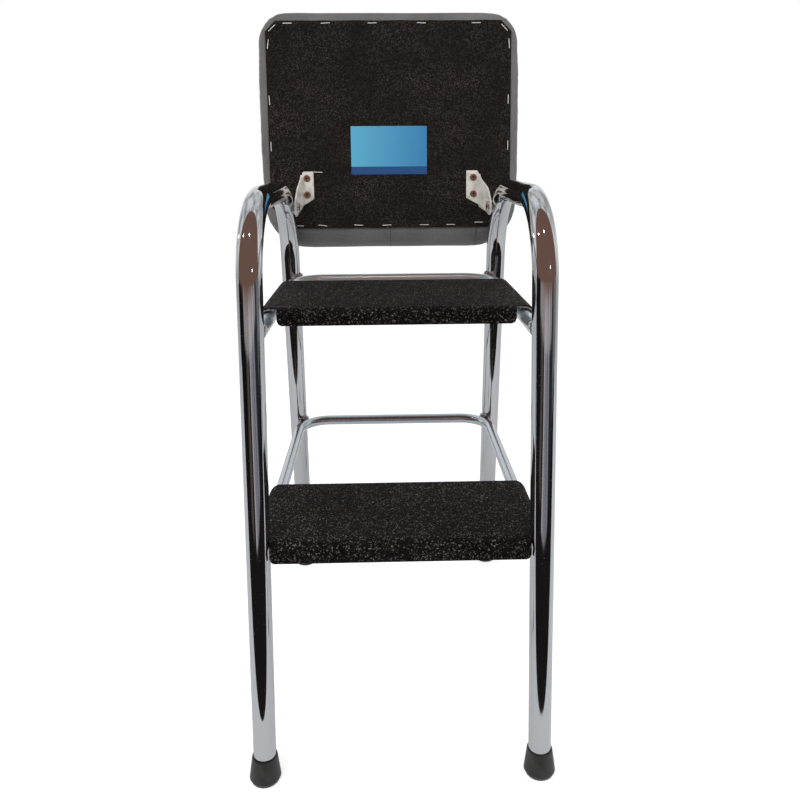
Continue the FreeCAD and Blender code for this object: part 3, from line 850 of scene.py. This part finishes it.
def geometry_tree(name, inputs):
    """Geometry node group with named inputs; returns it, what it is given and its end."""
    tree = bpy.data.node_groups.new(name, "GeometryNodeTree")
    for label, kind in [("Geometry", "Geometry")] + inputs:
        tree.interface.new_socket(label, in_out="INPUT", socket_type="NodeSocket" + kind)
    tree.interface.new_socket("Geometry", in_out="OUTPUT", socket_type="NodeSocketGeometry")
    return tree, tree.nodes.new("NodeGroupInput").outputs, tree.nodes.new("NodeGroupOutput")


def end_tree(nodes, placed, given, sink):
    """Makes the placed copies real, gives them their finish and sends them out."""
    real = node(nodes, "GeometryNodeRealizeInstances", in0=placed.outputs[0])
    finish = node(nodes, "GeometryNodeSetMaterial", Geometry=real.outputs[0], Material=given["Finish"])
    wire(sink, in0=finish.outputs[0])


def grown(name, data, tree, values):
    """New plain mesh that a geometry tree makes from carrier mesh data."""
    made = placed_object(name, data.copy())
    step = made.modifiers.new("grow", "NODES")
    step.node_group = tree
    for item in tree.interface.items_tree:
        if item.in_out == "INPUT" and item.name in values:
            step[item.identifier] = values[item.name]
    return finished(made)


def grit_tree():
    """Grains scattered over the upward and forward faces, thicker along the nosing."""
    inputs = [(label, "Float") for label in ("Density", "Nosing Y", "Nosing Boost", "Smallest", "Largest")]
    inputs += [("Seed", "Int"), ("Finish", "Material")]
    tree, given, sink = geometry_tree("grit_grains", inputs)
    nodes = tree.nodes
    facing = aligned(nodes, nodes.new("GeometryNodeInputNormal").outputs[0], (0.0, -0.7, 0.7))
    place = nodes.new("GeometryNodeInputPosition").outputs[0]
    y = node(nodes, "ShaderNodeSeparateXYZ", Vector=place).outputs["Y"]
    away = maths(nodes, "ABSOLUTE", maths(nodes, "SUBTRACT", y, given["Nosing Y"]))
    extra = maths(nodes, "MULTIPLY", spanned(nodes, away, 0.0, NOSING_REACH, 1.0, 0.0), given["Nosing Boost"])
    spread = node(
        nodes,
        "GeometryNodeDistributePointsOnFaces",
        Mesh=given["Geometry"],
        Selection=maths(nodes, "GREATER_THAN", facing, 0.5),
        Density=maths(nodes, "MULTIPLY", maths(nodes, "ADD", extra, 1.0), given["Density"]),
        Seed=given["Seed"],
    )
    grain = node(nodes, "GeometryNodeMeshIcoSphere", Radius=1.0, Subdivisions=1)
    size = node(nodes, "FunctionNodeRandomValue", in2=given["Smallest"], in3=given["Largest"])
    tumble = nodes.new("FunctionNodeRandomValue")
    tumble.data_type = "FLOAT_VECTOR"
    wire(tumble, in0=(0, 0, 0), in1=(FULL_TURN, FULL_TURN, FULL_TURN))
    turned = node(nodes, "FunctionNodeEulerToRotation", in0=tumble.outputs[0])
    placed = node(
        nodes,
        "GeometryNodeInstanceOnPoints",
        Points=spread.outputs["Points"],
        Instance=grain.outputs["Mesh"],
        Scale=size.outputs[1],
        Rotation=turned.outputs[0],
    )
    end_tree(nodes, placed, given, sink)
    return tree


def black_paint_material():
    """Black stoved paint on the pans, a little uneven."""
    made, nodes, shader = new_material("black_paint")
    mottle = noise_at(nodes, object_place(nodes), 300.0)
    wire(
        shader,
        Base_Color=ramped(nodes, mottle, (0.0, (0.010, 0.010, 0.010)), (1.0, (0.035, 0.034, 0.033))),
        Normal=bumped(nodes, mottle, 0.1 * MM),
        Roughness=0.45,
    )
    return made


def cut_edge_material():
    """Sheared steel edge of the pan, where the paint has worn off."""
    made, nodes, shader = new_material("cut_edge")
    streak = noise_at(nodes, object_place(nodes), 500.0, 3.0)
    wire(
        shader,
        Base_Color=ramped(nodes, streak, (0.35, (0.10, 0.10, 0.10)), (0.60, (0.50, 0.50, 0.51))),
        Metallic=0.6,
        Roughness=0.45,
    )
    return made


grit_mat = grit_material()
grit_glint = glint_material()
black_paint = black_paint_material()
cut_edge = cut_edge_material()
grain_tree = grit_tree()
for level_name in ("lower", "upper"):
    sizes = TREADS[level_name]
    nosing_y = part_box(level_name + "_tread_mat")[0].y + PAN_T + MAT_T + sizes["nose_r"]
    pan = tread_sheet("pan_" + level_name, level_name, PAN_T, PAN_T)
    pan.data.materials.append(black_paint)
    pan.data.materials.append(cut_edge)
    for polygon in pan.data.polygons:
        is_front_cut = polygon.normal.y < -0.8 and abs(polygon.center.x) > sizes["lip_half"]
        if is_front_cut and abs(polygon.center.y - nosing_y) < 0.6 * MM:
            polygon.material_index = 1
    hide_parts(level_name + "_tread_pan")
    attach(pan, "frame")
    mat = tread_sheet("mat_" + level_name, level_name, PAN_T + MAT_T, MAT_T)
    mat.data.materials.append(grit_mat)
    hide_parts(level_name + "_tread_mat")
    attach(mat, "frame")
    for kind, density, smallest, largest, seed in (
        ("dull", 60000.0, 0.15 * MM, 0.34 * MM, 3),
        ("glint", 60000.0, 0.10 * MM, 0.26 * MM, 11),
    ):
        grains_and_glints = grown(
            "grit_%s_%s" % (kind, level_name),
            mat.data,
            grain_tree,
            {
                "Density": density,
                "Nosing Y": nosing_y,
                "Nosing Boost": 1.5,
                "Smallest": smallest,
                "Largest": largest,
                "Seed": seed,
                "Finish": grit_mat if kind == "dull" else grit_glint,
            },
        )
        for polygon in grains_and_glints.data.polygons:
            polygon.use_smooth = False
        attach(grains_and_glints, "frame")


# Seat pad
# A foam block on a board, wrapped in grey vinyl that is pulled over the edges and
# stapled underneath. Its top is crowned, its lower edge is rolled back from the legs.
# The cover swells a little under pressure, as stuffed vinyl does.
SEAT_LEAN = math.radians(12)
SEAT_OFFSET = 40.5 * MM
PAD_HALF_WIDTH = 153.5 * MM
PAD_LOW = -38.5 * MM
PAD_HIGH = 226.5 * MM
PAD_THICK = 50.0 * MM
PAD_LOW_CORNER_R = 54.0 * MM
PAD_TOP_CORNER_R = 32.0 * MM
PAD_ROLL_R = 28.0 * MM
PAD_LEFT_SHIFT = 2.2 * MM
PAD_SHRINK = 1.2 * MM
PAD_TOP_SWELL = 3.0 * MM
PAD_VOXEL = 5.0 * MM
COVER_T = 0.6 * MM
PUFF_FORCE = 4.0
PUFF_FRAMES = 20
pivot = Vector(frame["joints"][0]["pos_m"])
seat_up = Vector((0, math.sin(SEAT_LEAN), math.cos(SEAT_LEAN)))
seat_out = Vector((0, -math.cos(SEAT_LEAN), math.sin(SEAT_LEAN)))


def seat_at(x, u, n):
    """Seat place to space: u up the standing seat from the pivot, n out of its underside."""
    return Vector((x, pivot.y, pivot.z)) + seat_up * u + seat_out * (n - SEAT_OFFSET)


def seat_place(spot):
    """Space to seat place, the other way round from seat_at."""
    off = Vector(spot) - Vector((0, pivot.y, pivot.z))
    return off.x, off.dot(seat_up), off.dot(seat_out) + SEAT_OFFSET


def pad_outline(count, inset):
    """Points round the pad at equal steps, its four corners round."""
    spots = []
    half = PAD_HALF_WIDTH - inset
    low = PAD_LOW + inset
    high = PAD_HIGH - inset
    corners = [
        (half, low, PAD_LOW_CORNER_R, -90),
        (half, high, PAD_TOP_CORNER_R, 0),
        (-half, high, PAD_TOP_CORNER_R, 90),
        (-half, low, PAD_LOW_CORNER_R, 180),
    ]
    for x, u, radius, first in corners:
        radius = max(radius - inset, 4 * MM)
        cx = x - math.copysign(radius, x)
        cu = u + radius if first in (-90, 180) else u - radius
        for k in range(13):
            a = math.radians(first + 90 * k / 12)
            spots.append(Vector((cx + radius * math.cos(a), cu + radius * math.sin(a))))
    spots.append(spots[0])
    lengths = [0.0]
    for i in range(1, len(spots)):
        lengths.append(lengths[-1] + (spots[i] - spots[i - 1]).length)
    even = []
    seg = 0
    for k in range(count):
        want = lengths[-1] * k / count
        while lengths[seg + 1] < want:
            seg += 1
        share = (want - lengths[seg]) / max(1e-9, lengths[seg + 1] - lengths[seg])
        even.append(spots[seg].lerp(spots[seg + 1], share))
    return even


def pad_rings(shrink):
    """Profile of the pad from the middle of its underside to the middle of its top."""
    rings = [(60.0, 0.0), (30.0, 0.0), (12.0, 0.0), (6.0, 0.15), (3.0, 1.2), (0.9, 4.0), (0.0, 8.0)]
    rings += [(0.0, 15.0), (0.0, 22.0)]
    for degrees in range(10, 91, 10):
        a = math.radians(degrees)
        rings.append((24.0 * (1 - math.cos(a)), 22.0 + 19.0 * math.sin(a)))
    rings += [(40.0, 44.2), (60.0, 46.6), (85.0, 48.6), (108.0, 49.6)]
    thinner = 1 - shrink / PAD_THICK
    return [(inset * MM, depth * MM * thinner) for inset, depth in rings]


def pad_form(name, shrink):
    """Plain closed form of the pad, a little smaller all round by shrink."""
    count = 240
    vertices = []
    rings = pad_rings(shrink)
    for inset, depth in rings:
        for spot in pad_outline(count, inset + shrink):
            du = max(0.0, PAD_LOW + shrink + PAD_ROLL_R - spot.y)
            rolled = PAD_ROLL_R - math.sqrt(max(0.0, PAD_ROLL_R ** 2 - du ** 2))
            vertices.append(seat_at(spot.x - PAD_LEFT_SHIFT, spot.y, -max(depth, rolled) - COVER_T))
    return mesh_object(name, vertices, ring_faces(len(rings), count))


def swollen(piece):
    """Lets cloth pressure puff the cover up from its foam, within a few millimetres."""
    grid = piece.modifiers.new("even_grid", "REMESH")
    grid.mode = "VOXEL"
    grid.voxel_size = PAD_VOXEL
    finished(piece)
    starts = [vertex.co.copy() for vertex in piece.data.vertices]
    held = piece.vertex_groups.new(name="held")
    flat = [i for i, spot in enumerate(starts) if seat_place(spot)[2] > -COVER_T - 1.0 * MM]
    held.add(flat, 1.0, "REPLACE")
    puff = piece.modifiers.new("puff", "CLOTH")
    puff.settings.use_pressure = True
    puff.settings.uniform_pressure_force = PUFF_FORCE
    puff.settings.effector_weights.gravity = 0.0
    puff.settings.vertex_group_mass = "held"
    puff.point_cache.frame_start = 1
    puff.point_cache.frame_end = PUFF_FRAMES
    for number in range(1, PUFF_FRAMES + 1):
        scene.frame_set(number)
    puffed = piece.evaluated_get(bpy.context.evaluated_depsgraph_get())
    ends = [vertex.co.copy() for vertex in puffed.data.vertices]
    piece.modifiers.clear()
    piece.vertex_groups.clear()
    scene.frame_set(1)
    for vertex, start, stop in zip(piece.data.vertices, starts, ends):
        move = stop - start
        depth = -seat_place(start)[2]
        cap = PAD_SHRINK + PAD_TOP_SWELL * min(1.0, max(0.0, depth / PAD_THICK - 0.5) * 2)
        if move.length > cap:
            move *= cap / move.length
        vertex.co = start + move
    return piece


def fill_outline(piece):
    """Eases the cover out sideways until it fills the pad's outline again."""
    spots = [seat_place(vertex.co) for vertex in piece.data.vertices]
    half = max(abs(x + PAD_LEFT_SHIFT) for x, u, n in spots)
    low = min(u for x, u, n in spots)
    high = max(u for x, u, n in spots)
    for vertex, (x, u, n) in zip(piece.data.vertices, spots):
        wide = (x + PAD_LEFT_SHIFT) * PAD_HALF_WIDTH / half - PAD_LEFT_SHIFT
        tall = PAD_LOW + (u - low) * (PAD_HIGH - PAD_LOW) / (high - low)
        vertex.co = seat_at(wide, tall, n)


pad = pad_form("seat_pad", PAD_SHRINK)
swollen(pad)
rounder = pad.modifiers.new("rounder", "SUBSURF")
rounder.levels = 1
rounder.render_levels = 1
finished(pad)
fill_outline(pad)
normals = [vertex.normal.copy() for vertex in pad.data.vertices]
for vertex, normal in zip(pad.data.vertices, normals):
    x, u, n = seat_place(vertex.co)
    near_corner = min(1.0, max(0.0, (abs(x) - 100 * MM) / (40 * MM)))
    pucker = noise.noise(Vector((x * 160, u * 160, 1.0))) * near_corner
    ripple = noise.noise(Vector((x * 28, u * 28, n * 28)))
    shift = (0.35 * pucker + 0.30 * ripple) * MM
    inward = 1.0 if n > -COVER_T - 2 * MM else 0.0
    vertex.co += normal * (shift - 0.4 * MM * inward)
    over = seat_place(vertex.co)[2] + COVER_T
    if over > 0:
        vertex.co -= seat_out * over


def vinyl_material(name, light):
    """Grey upholstery vinyl with a fine leather grain, rubbed paler in places, its creases darkened as painted
    shade; light scales the whole colour down for a shaded copy.
    """
    made, nodes, shader = new_material(name)
    place = object_place(nodes)
    grain = nodes.new("ShaderNodeTexVoronoi")
    grain.feature = "DISTANCE_TO_EDGE"
    wire(grain, Vector=place, Scale=750.0)
    creases = spanned(nodes, grain.outputs["Distance"], 0.0, 0.25)
    mottle = noise_at(nodes, place, 24.0, 4.0)
    dark = tuple(part * light for part in (0.150, 0.148, 0.148))
    pale = tuple(part * light for part in (0.215, 0.211, 0.210))
    tone = ramped(nodes, mottle, (0.3, dark), (0.8, pale))
    # The grain's creases darken the colour by about a third: painted shade.
    wire(
        shader,
        Base_Color=mixed(nodes, 0.35, tone, creases, "MULTIPLY"),
        Normal=bumped(nodes, creases, 0.1 * MM, 0.7),
        Roughness=spanned(nodes, mottle, to_low=0.36, to_high=0.54),
        Specular_IOR_Level=0.45,
    )
    return made


grey_vinyl = vinyl_material("grey_vinyl", 1.0)
pad.data.materials.append(grey_vinyl)
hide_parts("seat_cover", "seat_foam", "seat_board")
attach(pad, "seat")


# Cover tucks
# Where the vinyl is folded over itself underneath, two thin ridges run from the dust
# cover's edge down round the lower edge of the pad.
TUCKS_X = (-3.0 * MM, 101.0 * MM)
TUCK_WIDTH = 0.9 * MM
TUCK_RISE = 0.35 * MM
TUCK_STEPS = 40


def tuck_form(name):
    """Ribbons laid on the pad, found by casting inwards at its rolled lower edge."""
    surface = BVHTree.FromPolygons(
        [vertex.co for vertex in pad.data.vertices],
        [tuple(polygon.vertices) for polygon in pad.data.polygons],
    )
    vertices = []
    faces = []
    for x in TUCKS_X:
        start = len(vertices)
        for k in range(TUCK_STEPS + 1):
            a = math.radians(-8 + 108 * k / TUCK_STEPS)
            core = seat_at(x, PAD_LOW + PAD_ROLL_R, -COVER_T - PAD_ROLL_R)
            way = seat_out * math.cos(a) - seat_up * math.sin(a)
            wander = 0.4 * MM * noise.noise(Vector((k * 0.2, x * 100, 0)))
            row = []
            for across, rise in ((-0.5, -0.4), (-0.35, 1.0), (0.35, 1.0), (0.5, -0.4)):
                side_step = Vector((across * TUCK_WIDTH + wander, 0, 0))
                hit = surface.ray_cast(core + side_step + way * 90 * MM, -way)[0]
                row.append(hit + way * rise * TUCK_RISE)
            vertices.extend(row)
            if k:
                for j in range(4):
                    a0 = start + (k - 1) * 4
                    faces.append((a0 + j, a0 + (j + 1) % 4, a0 + 4 + (j + 1) % 4, a0 + 4 + j))
        faces.append(tuple(range(start, start + 4)))
        faces.append(tuple(range(len(vertices) - 4, len(vertices))))
    return mesh_object(name, vertices, faces)


tucks = tuck_form("cover_tucks")
# The tucks take the vinyl at 0.45 of its colour: painted shade along each fold.
tucks.data.materials.append(vinyl_material("vinyl_tuck", 0.45))
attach(tucks, "seat")


# Dust cover
# Thin black-brown spunbonded cloth hides the board. Its edges are turned in and held
# by wire staples, and it lies nearly flat with a few faint pulls.
DUST_HALF_WIDTH = 143.0 * MM
DUST_LOW = -18.5 * MM
DUST_HIGH = 215.5 * MM
TOP_CUT = 12.0 * MM
LOW_CUT = 26.0 * MM
HEM_WIDTH = 7.0 * MM
HEM_RISE = 0.35 * MM
CARD_MIDDLE = (-3.5 * MM, 71.0 * MM)
CARD_HALF = (45.0 * MM, 27.5 * MM)


def dust_half_width(u):
    """Half width of the dust cover at a height up the seat, with its cut corners."""
    low_cut = max(0.0, DUST_LOW + LOW_CUT - u)
    top_cut = max(0.0, u - (DUST_HIGH - TOP_CUT))
    return DUST_HALF_WIDTH - low_cut - top_cut


def dust_rise(x, u):
    """How far the cloth stands out: turned-in hem, slack clear of the card, pulls by the edge."""
    inset = min(dust_half_width(u) - abs(x), u - DUST_LOW, DUST_HIGH - u)
    hem = HEM_RISE * (1 - min(1.0, max(0.0, (inset - HEM_WIDTH) / (1.5 * MM))))
    slack = 0.7 * MM * (0.5 + 0.5 * noise.noise(Vector((x * 17, u * 13, 3.0))))
    slack *= min(1.0, max(0.0, inset / (25 * MM)))
    by_card = max(abs(x - CARD_MIDDLE[0]) - CARD_HALF[0], abs(u - CARD_MIDDLE[1]) - CARD_HALF[1])
    slack *= min(1.0, max(0.0, by_card / (20 * MM)))
    pull = 0.25 * MM * noise.noise(Vector((x * 90, u * 90, 8.0))) * max(0.0, 1 - inset / (22 * MM))
    return max(0.0, hem + slack + pull)


def dust_form(name):
    """The dust cover as a sheet with thickness, its top and bottom edges a little wavy."""
    columns = 190
    rows = 160
    vertices = []
    for r in range(rows + 1):
        u = DUST_LOW + (DUST_HIGH - DUST_LOW) * r / rows
        half = dust_half_width(u)
        for c in range(columns + 1):
            x = half * (2 * c / columns - 1)
            wavy = 0.5 * MM * noise.noise(Vector((x * 40, 5.0, 0))) if r in (0, rows) else 0.0
            vertices.append(seat_at(x - PAD_LEFT_SHIFT, u + wavy, dust_rise(x, u)))
    made = mesh_object(name, vertices, grid_faces(rows, columns))
    if made.data.polygons[0].normal.dot(seat_out) < 0:
        made.data.flip_normals()
    thickened(made, COVER_T)
    return finished(made)


def cambric_material():
    """Dark cloth bonded in a slanting grid of dots a millimetre or so apart."""
    made, nodes, shader = new_material("black_cambric")
    place = object_place(nodes)
    turn = (0, math.radians(45), 0)
    slanted = node(nodes, "ShaderNodeMapping", Vector=place, Scale=(1.0, 0.0, 1.0), Rotation=turn)
    slant = slanted.outputs["Vector"]
    distance, shares = cells_at(nodes, slant, 760.0, 0.08)
    dot = spanned(nodes, distance, 0.22, 0.42, 1.0, 0.0)
    lit = maths(nodes, "MULTIPLY", dot, maths(nodes, "POWER", shares["Red"], 2.2))
    patch = spanned(nodes, noise_at(nodes, place, 20.0, 4.0), 0.35, 0.70, 0.35, 1.25)
    toned = maths(nodes, "MULTIPLY", patch, lit)
    depth = maths(nodes, "MULTIPLY_ADD", noise_at(nodes, slant, 1500.0, 4.0), 0.25, dot)
    wire(
        shader,
        Base_Color=ramped(nodes, toned, (0.0, (0.0065, 0.0050, 0.0048)), (1.0, (0.135, 0.105, 0.082))),
        Normal=bumped(nodes, depth, 0.25 * MM),
        Roughness=0.8,
        Specular_IOR_Level=0.3,
    )
    return made


dust_cover = dust_form("cambric_cover")
dust_cover.data.materials.append(cambric_material())
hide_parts("dust_cover")
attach(dust_cover, "seat")


# Staples
# Bright wire staples hold the dust cover, fired one by one and none quite straight.
# Two sit across the cut corners, and one stray holds the cloth by the left bracket.
STAPLE_CROWN = 11.0 * MM
STAPLE_LEG = 3.0 * MM
STAPLE_WIRE_R = 0.42 * MM
STAPLE_BEND_R = 0.9 * MM
# Each is how far across and how far up the seat, in mm, and its turn in degrees
TOP_STAPLES = ((-117, 212.5, 0), (-73, 212.5, 3), (-19, 212.5, 1), (38, 212.5, -2), (102, 212.5, 0))
LOW_STAPLES = (
    (-110, -15.5, -2),
    (-82, -15.3, -6),
    (-39, -15.3, -4),
    (-5, -15.5, 3),
    (40, -15.5, 0),
    (72, -15.5, 0),
    (106, -13.0, 1),
)
LEFT_STAPLES = ((-140, 28, 88), (-140.5, 76, 90), (-140.5, 128, 93), (-140, 190, 82))
RIGHT_STAPLES = ((140, 28, 90), (140, 76, 89), (140, 128, 90), (140.5, 190, 94))
CORNER_STAPLES = ((-134.9, 207.4, 42), (134.9, 207.4, -45))
STRAY_STAPLES = ((-86, 46.5, -2),)
ALL_STAPLES = TOP_STAPLES + LOW_STAPLES + LEFT_STAPLES + RIGHT_STAPLES + CORNER_STAPLES + STRAY_STAPLES


def staple_tree():
    """One bent wire repeated at every marked spot, each turned as its mark says."""
    tree, given, sink = geometry_tree("staple_row", [("Wire Radius", "Float"), ("Finish", "Material")])
    nodes = tree.nodes
    half = STAPLE_CROWN / 2 - STAPLE_WIRE_R
    flat = half - STAPLE_BEND_R
    crown = node(nodes, "GeometryNodeCurvePrimitiveLine", Start=(-flat, 0, 0), End=(flat, 0, 0))
    parts = node(nodes, "GeometryNodeJoinGeometry", in0=crown.outputs[0])
    for side in (-1, 1):
        bend = node(
            nodes,
            "GeometryNodeCurvePrimitiveBezierSegment",
            Resolution=6,
            Start=(side * flat, 0, 0),
            Start_Handle=(side * half, 0, 0),
            End_Handle=(side * half, 0, 0),
            End=(side * half, 0, -STAPLE_LEG),
        )
        wire(parts, in0=bend.outputs[0])
    ring = node(nodes, "GeometryNodeCurvePrimitiveCircle", Resolution=10, Radius=given["Wire Radius"])
    bent = node(nodes, "GeometryNodeCurveToMesh", Curve=parts.outputs[0], Fill_Caps=True)
    wire(bent, Profile_Curve=ring.outputs[0])
    turn = nodes.new("GeometryNodeInputNamedAttribute")
    turn.data_type = "FLOAT_VECTOR"
    wire(turn, Name="turn")
    turned = node(nodes, "FunctionNodeEulerToRotation", in0=turn.outputs[0])
    spots = node(nodes, "GeometryNodeMeshToPoints", in0=given["Geometry"])
    placed = node(nodes, "GeometryNodeInstanceOnPoints", Points=spots.outputs[0], Instance=bent.outputs[0])
    wire(placed, Rotation=turned.outputs[0])
    end_tree(nodes, placed, given, sink)
    return tree


def satin_metal(name, dark, light, low_rough, high_rough, scale=220.0, metallic=1.0):
    """Metal whose colour and shine drift a little, with fine scuffs in its surface."""
    made, nodes, shader = new_material(name)
    mottle = noise_at(nodes, object_place(nodes), scale, 5.0)
    wire(
        shader,
        Base_Color=ramped(nodes, mottle, (0.3, dark), (0.7, light)),
        Roughness=spanned(nodes, mottle, to_low=low_rough, to_high=high_rough),
        Normal=bumped(nodes, mottle, 0.05 * MM, 0.6),
        Metallic=metallic,
    )
    return made


staple_wire = satin_metal("staple_wire", (0.70, 0.70, 0.70), (0.90, 0.90, 0.90), 0.28, 0.45, metallic=0.15)
marks = []
turns = []
for x, u, degrees in ALL_STAPLES:
    place_x = x * MM
    place_u = u * MM
    stand = dust_rise(place_x, place_u) + STAPLE_WIRE_R * 0.8
    marks.append(seat_at(place_x - PAD_LEFT_SHIFT, place_u, stand))
    a = math.radians(degrees)
    along = Vector((math.cos(a), 0, 0)) + seat_up * math.sin(a)
    across = seat_out.cross(along)
    turns.extend(Matrix((along, across, seat_out)).transposed().to_euler())
spots = bpy.data.meshes.new("staple_marks")
spots.from_pydata(marks, [], [])
spots.attributes.new("turn", "FLOAT_VECTOR", "POINT").data.foreach_set("vector", turns)
staples = grown("staples", spots, staple_tree(), {"Wire Radius": STAPLE_WIRE_R, "Finish": staple_wire})
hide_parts("dust_cover_staples")
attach(staples, "seat")


# Hinge brackets
# Each is pressed from two-millimetre steel and painted cream. Its flange lies on the dust
# cover, and past a tight bend its ear leans out to the rivet on the side frame.
BRACKET_T = 1.9 * MM
EAR_X = 111.4 * MM
EAR_R = 9.5 * MM
EAR_TOP = 43.0 * MM
FLANGE_FOOT = 6.5 * MM
FLANGE_FOOT_INNER = 15.5 * MM
FLANGE_TOP = 47.0 * MM
FLANGE_CUT = 4.0 * MM
FOLD_R = 1.5 * MM
FLANGE_X = {-1: (93.7 * MM, 109.3 * MM), 1: (88.4 * MM, 105.2 * MM)}
SPLAY_FROM = 3.0 * MM
SPLAY_TO = 30.0 * MM


def ear_reach(n):
    """Lowest and highest u of the ear at a height n: two tangents and a round end."""
    reach = []
    for start, way in ((FLANGE_FOOT, -1), (EAR_TOP, 1)):
        angle = math.atan2(-SEAT_OFFSET, start) + way * math.acos(EAR_R / math.hypot(start, SEAT_OFFSET))
        touch_u = EAR_R * math.cos(angle)
        touch_n = SEAT_OFFSET + EAR_R * math.sin(angle)
        if n < touch_n:
            reach.append(start + (touch_u - start) * n / touch_n)
        else:
            reach.append(way * math.sqrt(max(0.0, EAR_R ** 2 - (n - SEAT_OFFSET) ** 2)))
    return reach


def bracket_form(name, side):
    """One bracket, row by row: along its flange, round its fold and up its ear."""
    inner, fold = FLANGE_X[side]
    middle = BRACKET_T / 2
    rows = []
    flat = fold - middle - FOLD_R
    for k in range(9):
        x = inner + (flat - inner) * k / 8
        share = (x - inner) / (fold - inner)
        low = FLANGE_FOOT_INNER + (FLANGE_FOOT - FLANGE_FOOT_INNER) * share
        high = min(FLANGE_TOP, EAR_TOP + (fold - x) * (FLANGE_TOP - EAR_TOP) / FLANGE_CUT)
        rows.append((x, middle, low, high))
    for k in range(1, 6):
        a = math.pi / 2 * k / 6
        x = flat + FOLD_R * math.sin(a)
        rows.append((x, middle + FOLD_R * (1 - math.cos(a)), FLANGE_FOOT, EAR_TOP))
    heights = [middle + FOLD_R + (SEAT_OFFSET - 3 * MM - middle) * k / 14 for k in range(14)]
    for k in range(13):
        a = math.radians(-10 + 98 * k / 12)
        heights.append(SEAT_OFFSET + EAR_R * math.sin(a))
    for n in heights:
        share = min(1.0, max(0.0, (n - SPLAY_FROM) / (SPLAY_TO - SPLAY_FROM)))
        lean = share * share * (3 - 2 * share)
        low, high = ear_reach(n)
        rows.append((fold - middle + (EAR_X - fold) * lean, n, low, high))
    columns = 12
    vertices = []
    for x, n, low, high in rows:
        for c in range(columns + 1):
            vertices.append(seat_at(side * x, low + (high - low) * c / columns, n))
    made = mesh_object(name, vertices, grid_faces(len(rows) - 1, columns))
    thickened(made, BRACKET_T, 0.0)
    softened(made, 0.35 * MM)
    return finished(made)


def cream_paint_material():
    """Cream stoved paint, a little dirty, with grey specks where it has chipped."""
    made, nodes, shader = new_material("cream_paint")
    place = object_place(nodes)
    dirt = noise_at(nodes, place, 130.0, 6.0)
    tone = ramped(nodes, dirt, (0.25, (0.50, 0.46, 0.42)), (0.55, (0.74, 0.70, 0.66)))
    distance, shares = cells_at(nodes, place, 330.0)
    rare = maths(nodes, "GREATER_THAN", shares["Red"], 0.965)
    chipped = maths(nodes, "MULTIPLY", rare, maths(nodes, "LESS_THAN", distance, 0.24))
    wire(
        shader,
        Base_Color=mixed(nodes, chipped, tone, (0.20, 0.17, 0.15, 1)),
        Normal=bumped(nodes, dirt, 0.06 * MM),
        Roughness=0.33,
    )
    return made


cream_paint = cream_paint_material()
for side, side_name in SIDES:
    bracket = bracket_form("bracket_" + side_name, side)
    bracket.data.materials.append(cream_paint)
    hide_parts("hinge_bracket_" + side_name)
    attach(bracket, "seat")


# Bracket screws
# Bronzed pan heads with a cross recess, two through each flange into the board. Their
# colour is worn off the rim, and the cross is painted near black as shade in the recess.
RECESS_SHADE_TOP = 3.2 * MM
RECESS_TOP = 3.45 * MM


def screw_material():
    """Bronzed steel above the recess and painted shade below it, told by height on the seat."""
    made, nodes, shader = new_material("bronzed_screw")
    place = object_place(nodes)
    height = maths(nodes, "SUBTRACT", aligned(nodes, place, seat_out), seat_at(0, 0, 0).dot(seat_out))
    # Below the top of the recess the head is painted near black, as shade in the cross.
    top = spanned(nodes, height, RECESS_SHADE_TOP, RECESS_TOP)
    mottle = noise_at(nodes, place, 600.0, 4.0)
    tone = ramped(nodes, mottle, (0.0, (0.16, 0.085, 0.055)), (1.0, (0.52, 0.34, 0.26)))
    wire(
        shader,
        Base_Color=mixed(nodes, top, (0.05, 0.035, 0.03, 1), tone),
        Metallic=spanned(nodes, top, to_low=0.2, to_high=0.85),
        Roughness=0.42,
    )
    return made


def refinish(node_name, finish):
    """Gives a piece that keeps its CAD shape its finish."""
    slots = frame["nodes"][node_name].data.materials
    slots.clear()
    slots.append(finish)


bronzed_screw = screw_material()
for side, side_name in SIDES:
    refinish("bracket_screws_" + side_name, bronzed_screw)


# Hinge rivets and spacers
# A zinc-plated rivet turns in each ear. A shaped spacer stands between the flat ear
# and the round tube.
zinc = satin_metal("zinc_plate", (0.50, 0.49, 0.46), (0.74, 0.73, 0.71), 0.18, 0.36, 400.0)
for side, side_name in SIDES:
    refinish("hinge_pin_" + side_name, zinc)
    refinish("hinge_spacer_" + side_name, zinc)


# Card
# A printed card, stuck to the dust cover by whoever repaired the stool. Here it has a
# plain two-tone design: pale blue deepening to one side, over a darker strip.
CARD_STRIP = 9.0 * MM


def card_material():
    """Plain printed blue, paler at the left, over a dark strip along the foot."""
    made, nodes, shader = new_material("blue_card")
    place = object_place(nodes)
    x = node(nodes, "ShaderNodeSeparateXYZ", Vector=place).outputs["X"]
    left = CARD_MIDDLE[0] - CARD_HALF[0]
    across = spanned(nodes, x, left, left + 2 * CARD_HALF[0])
    tone = ramped(nodes, across, (0.0, (0.10, 0.42, 0.62)), (1.0, (0.035, 0.22, 0.46)))
    foot = seat_at(0, CARD_MIDDLE[1] - CARD_HALF[1], 0).dot(seat_up)
    strip = maths(nodes, "LESS_THAN", aligned(nodes, place, seat_up), foot + CARD_STRIP)
    wire(
        shader,
        Base_Color=mixed(nodes, strip, tone, (0.014, 0.075, 0.23, 1)),
        Normal=bumped(nodes, noise_at(nodes, place, 900.0, 3.0), 0.03 * MM),
        Roughness=0.35,
    )
    return made


refinish("label_card", card_material())

sizes = {"cad": cad_box, "visual": [list(corner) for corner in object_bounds()]}
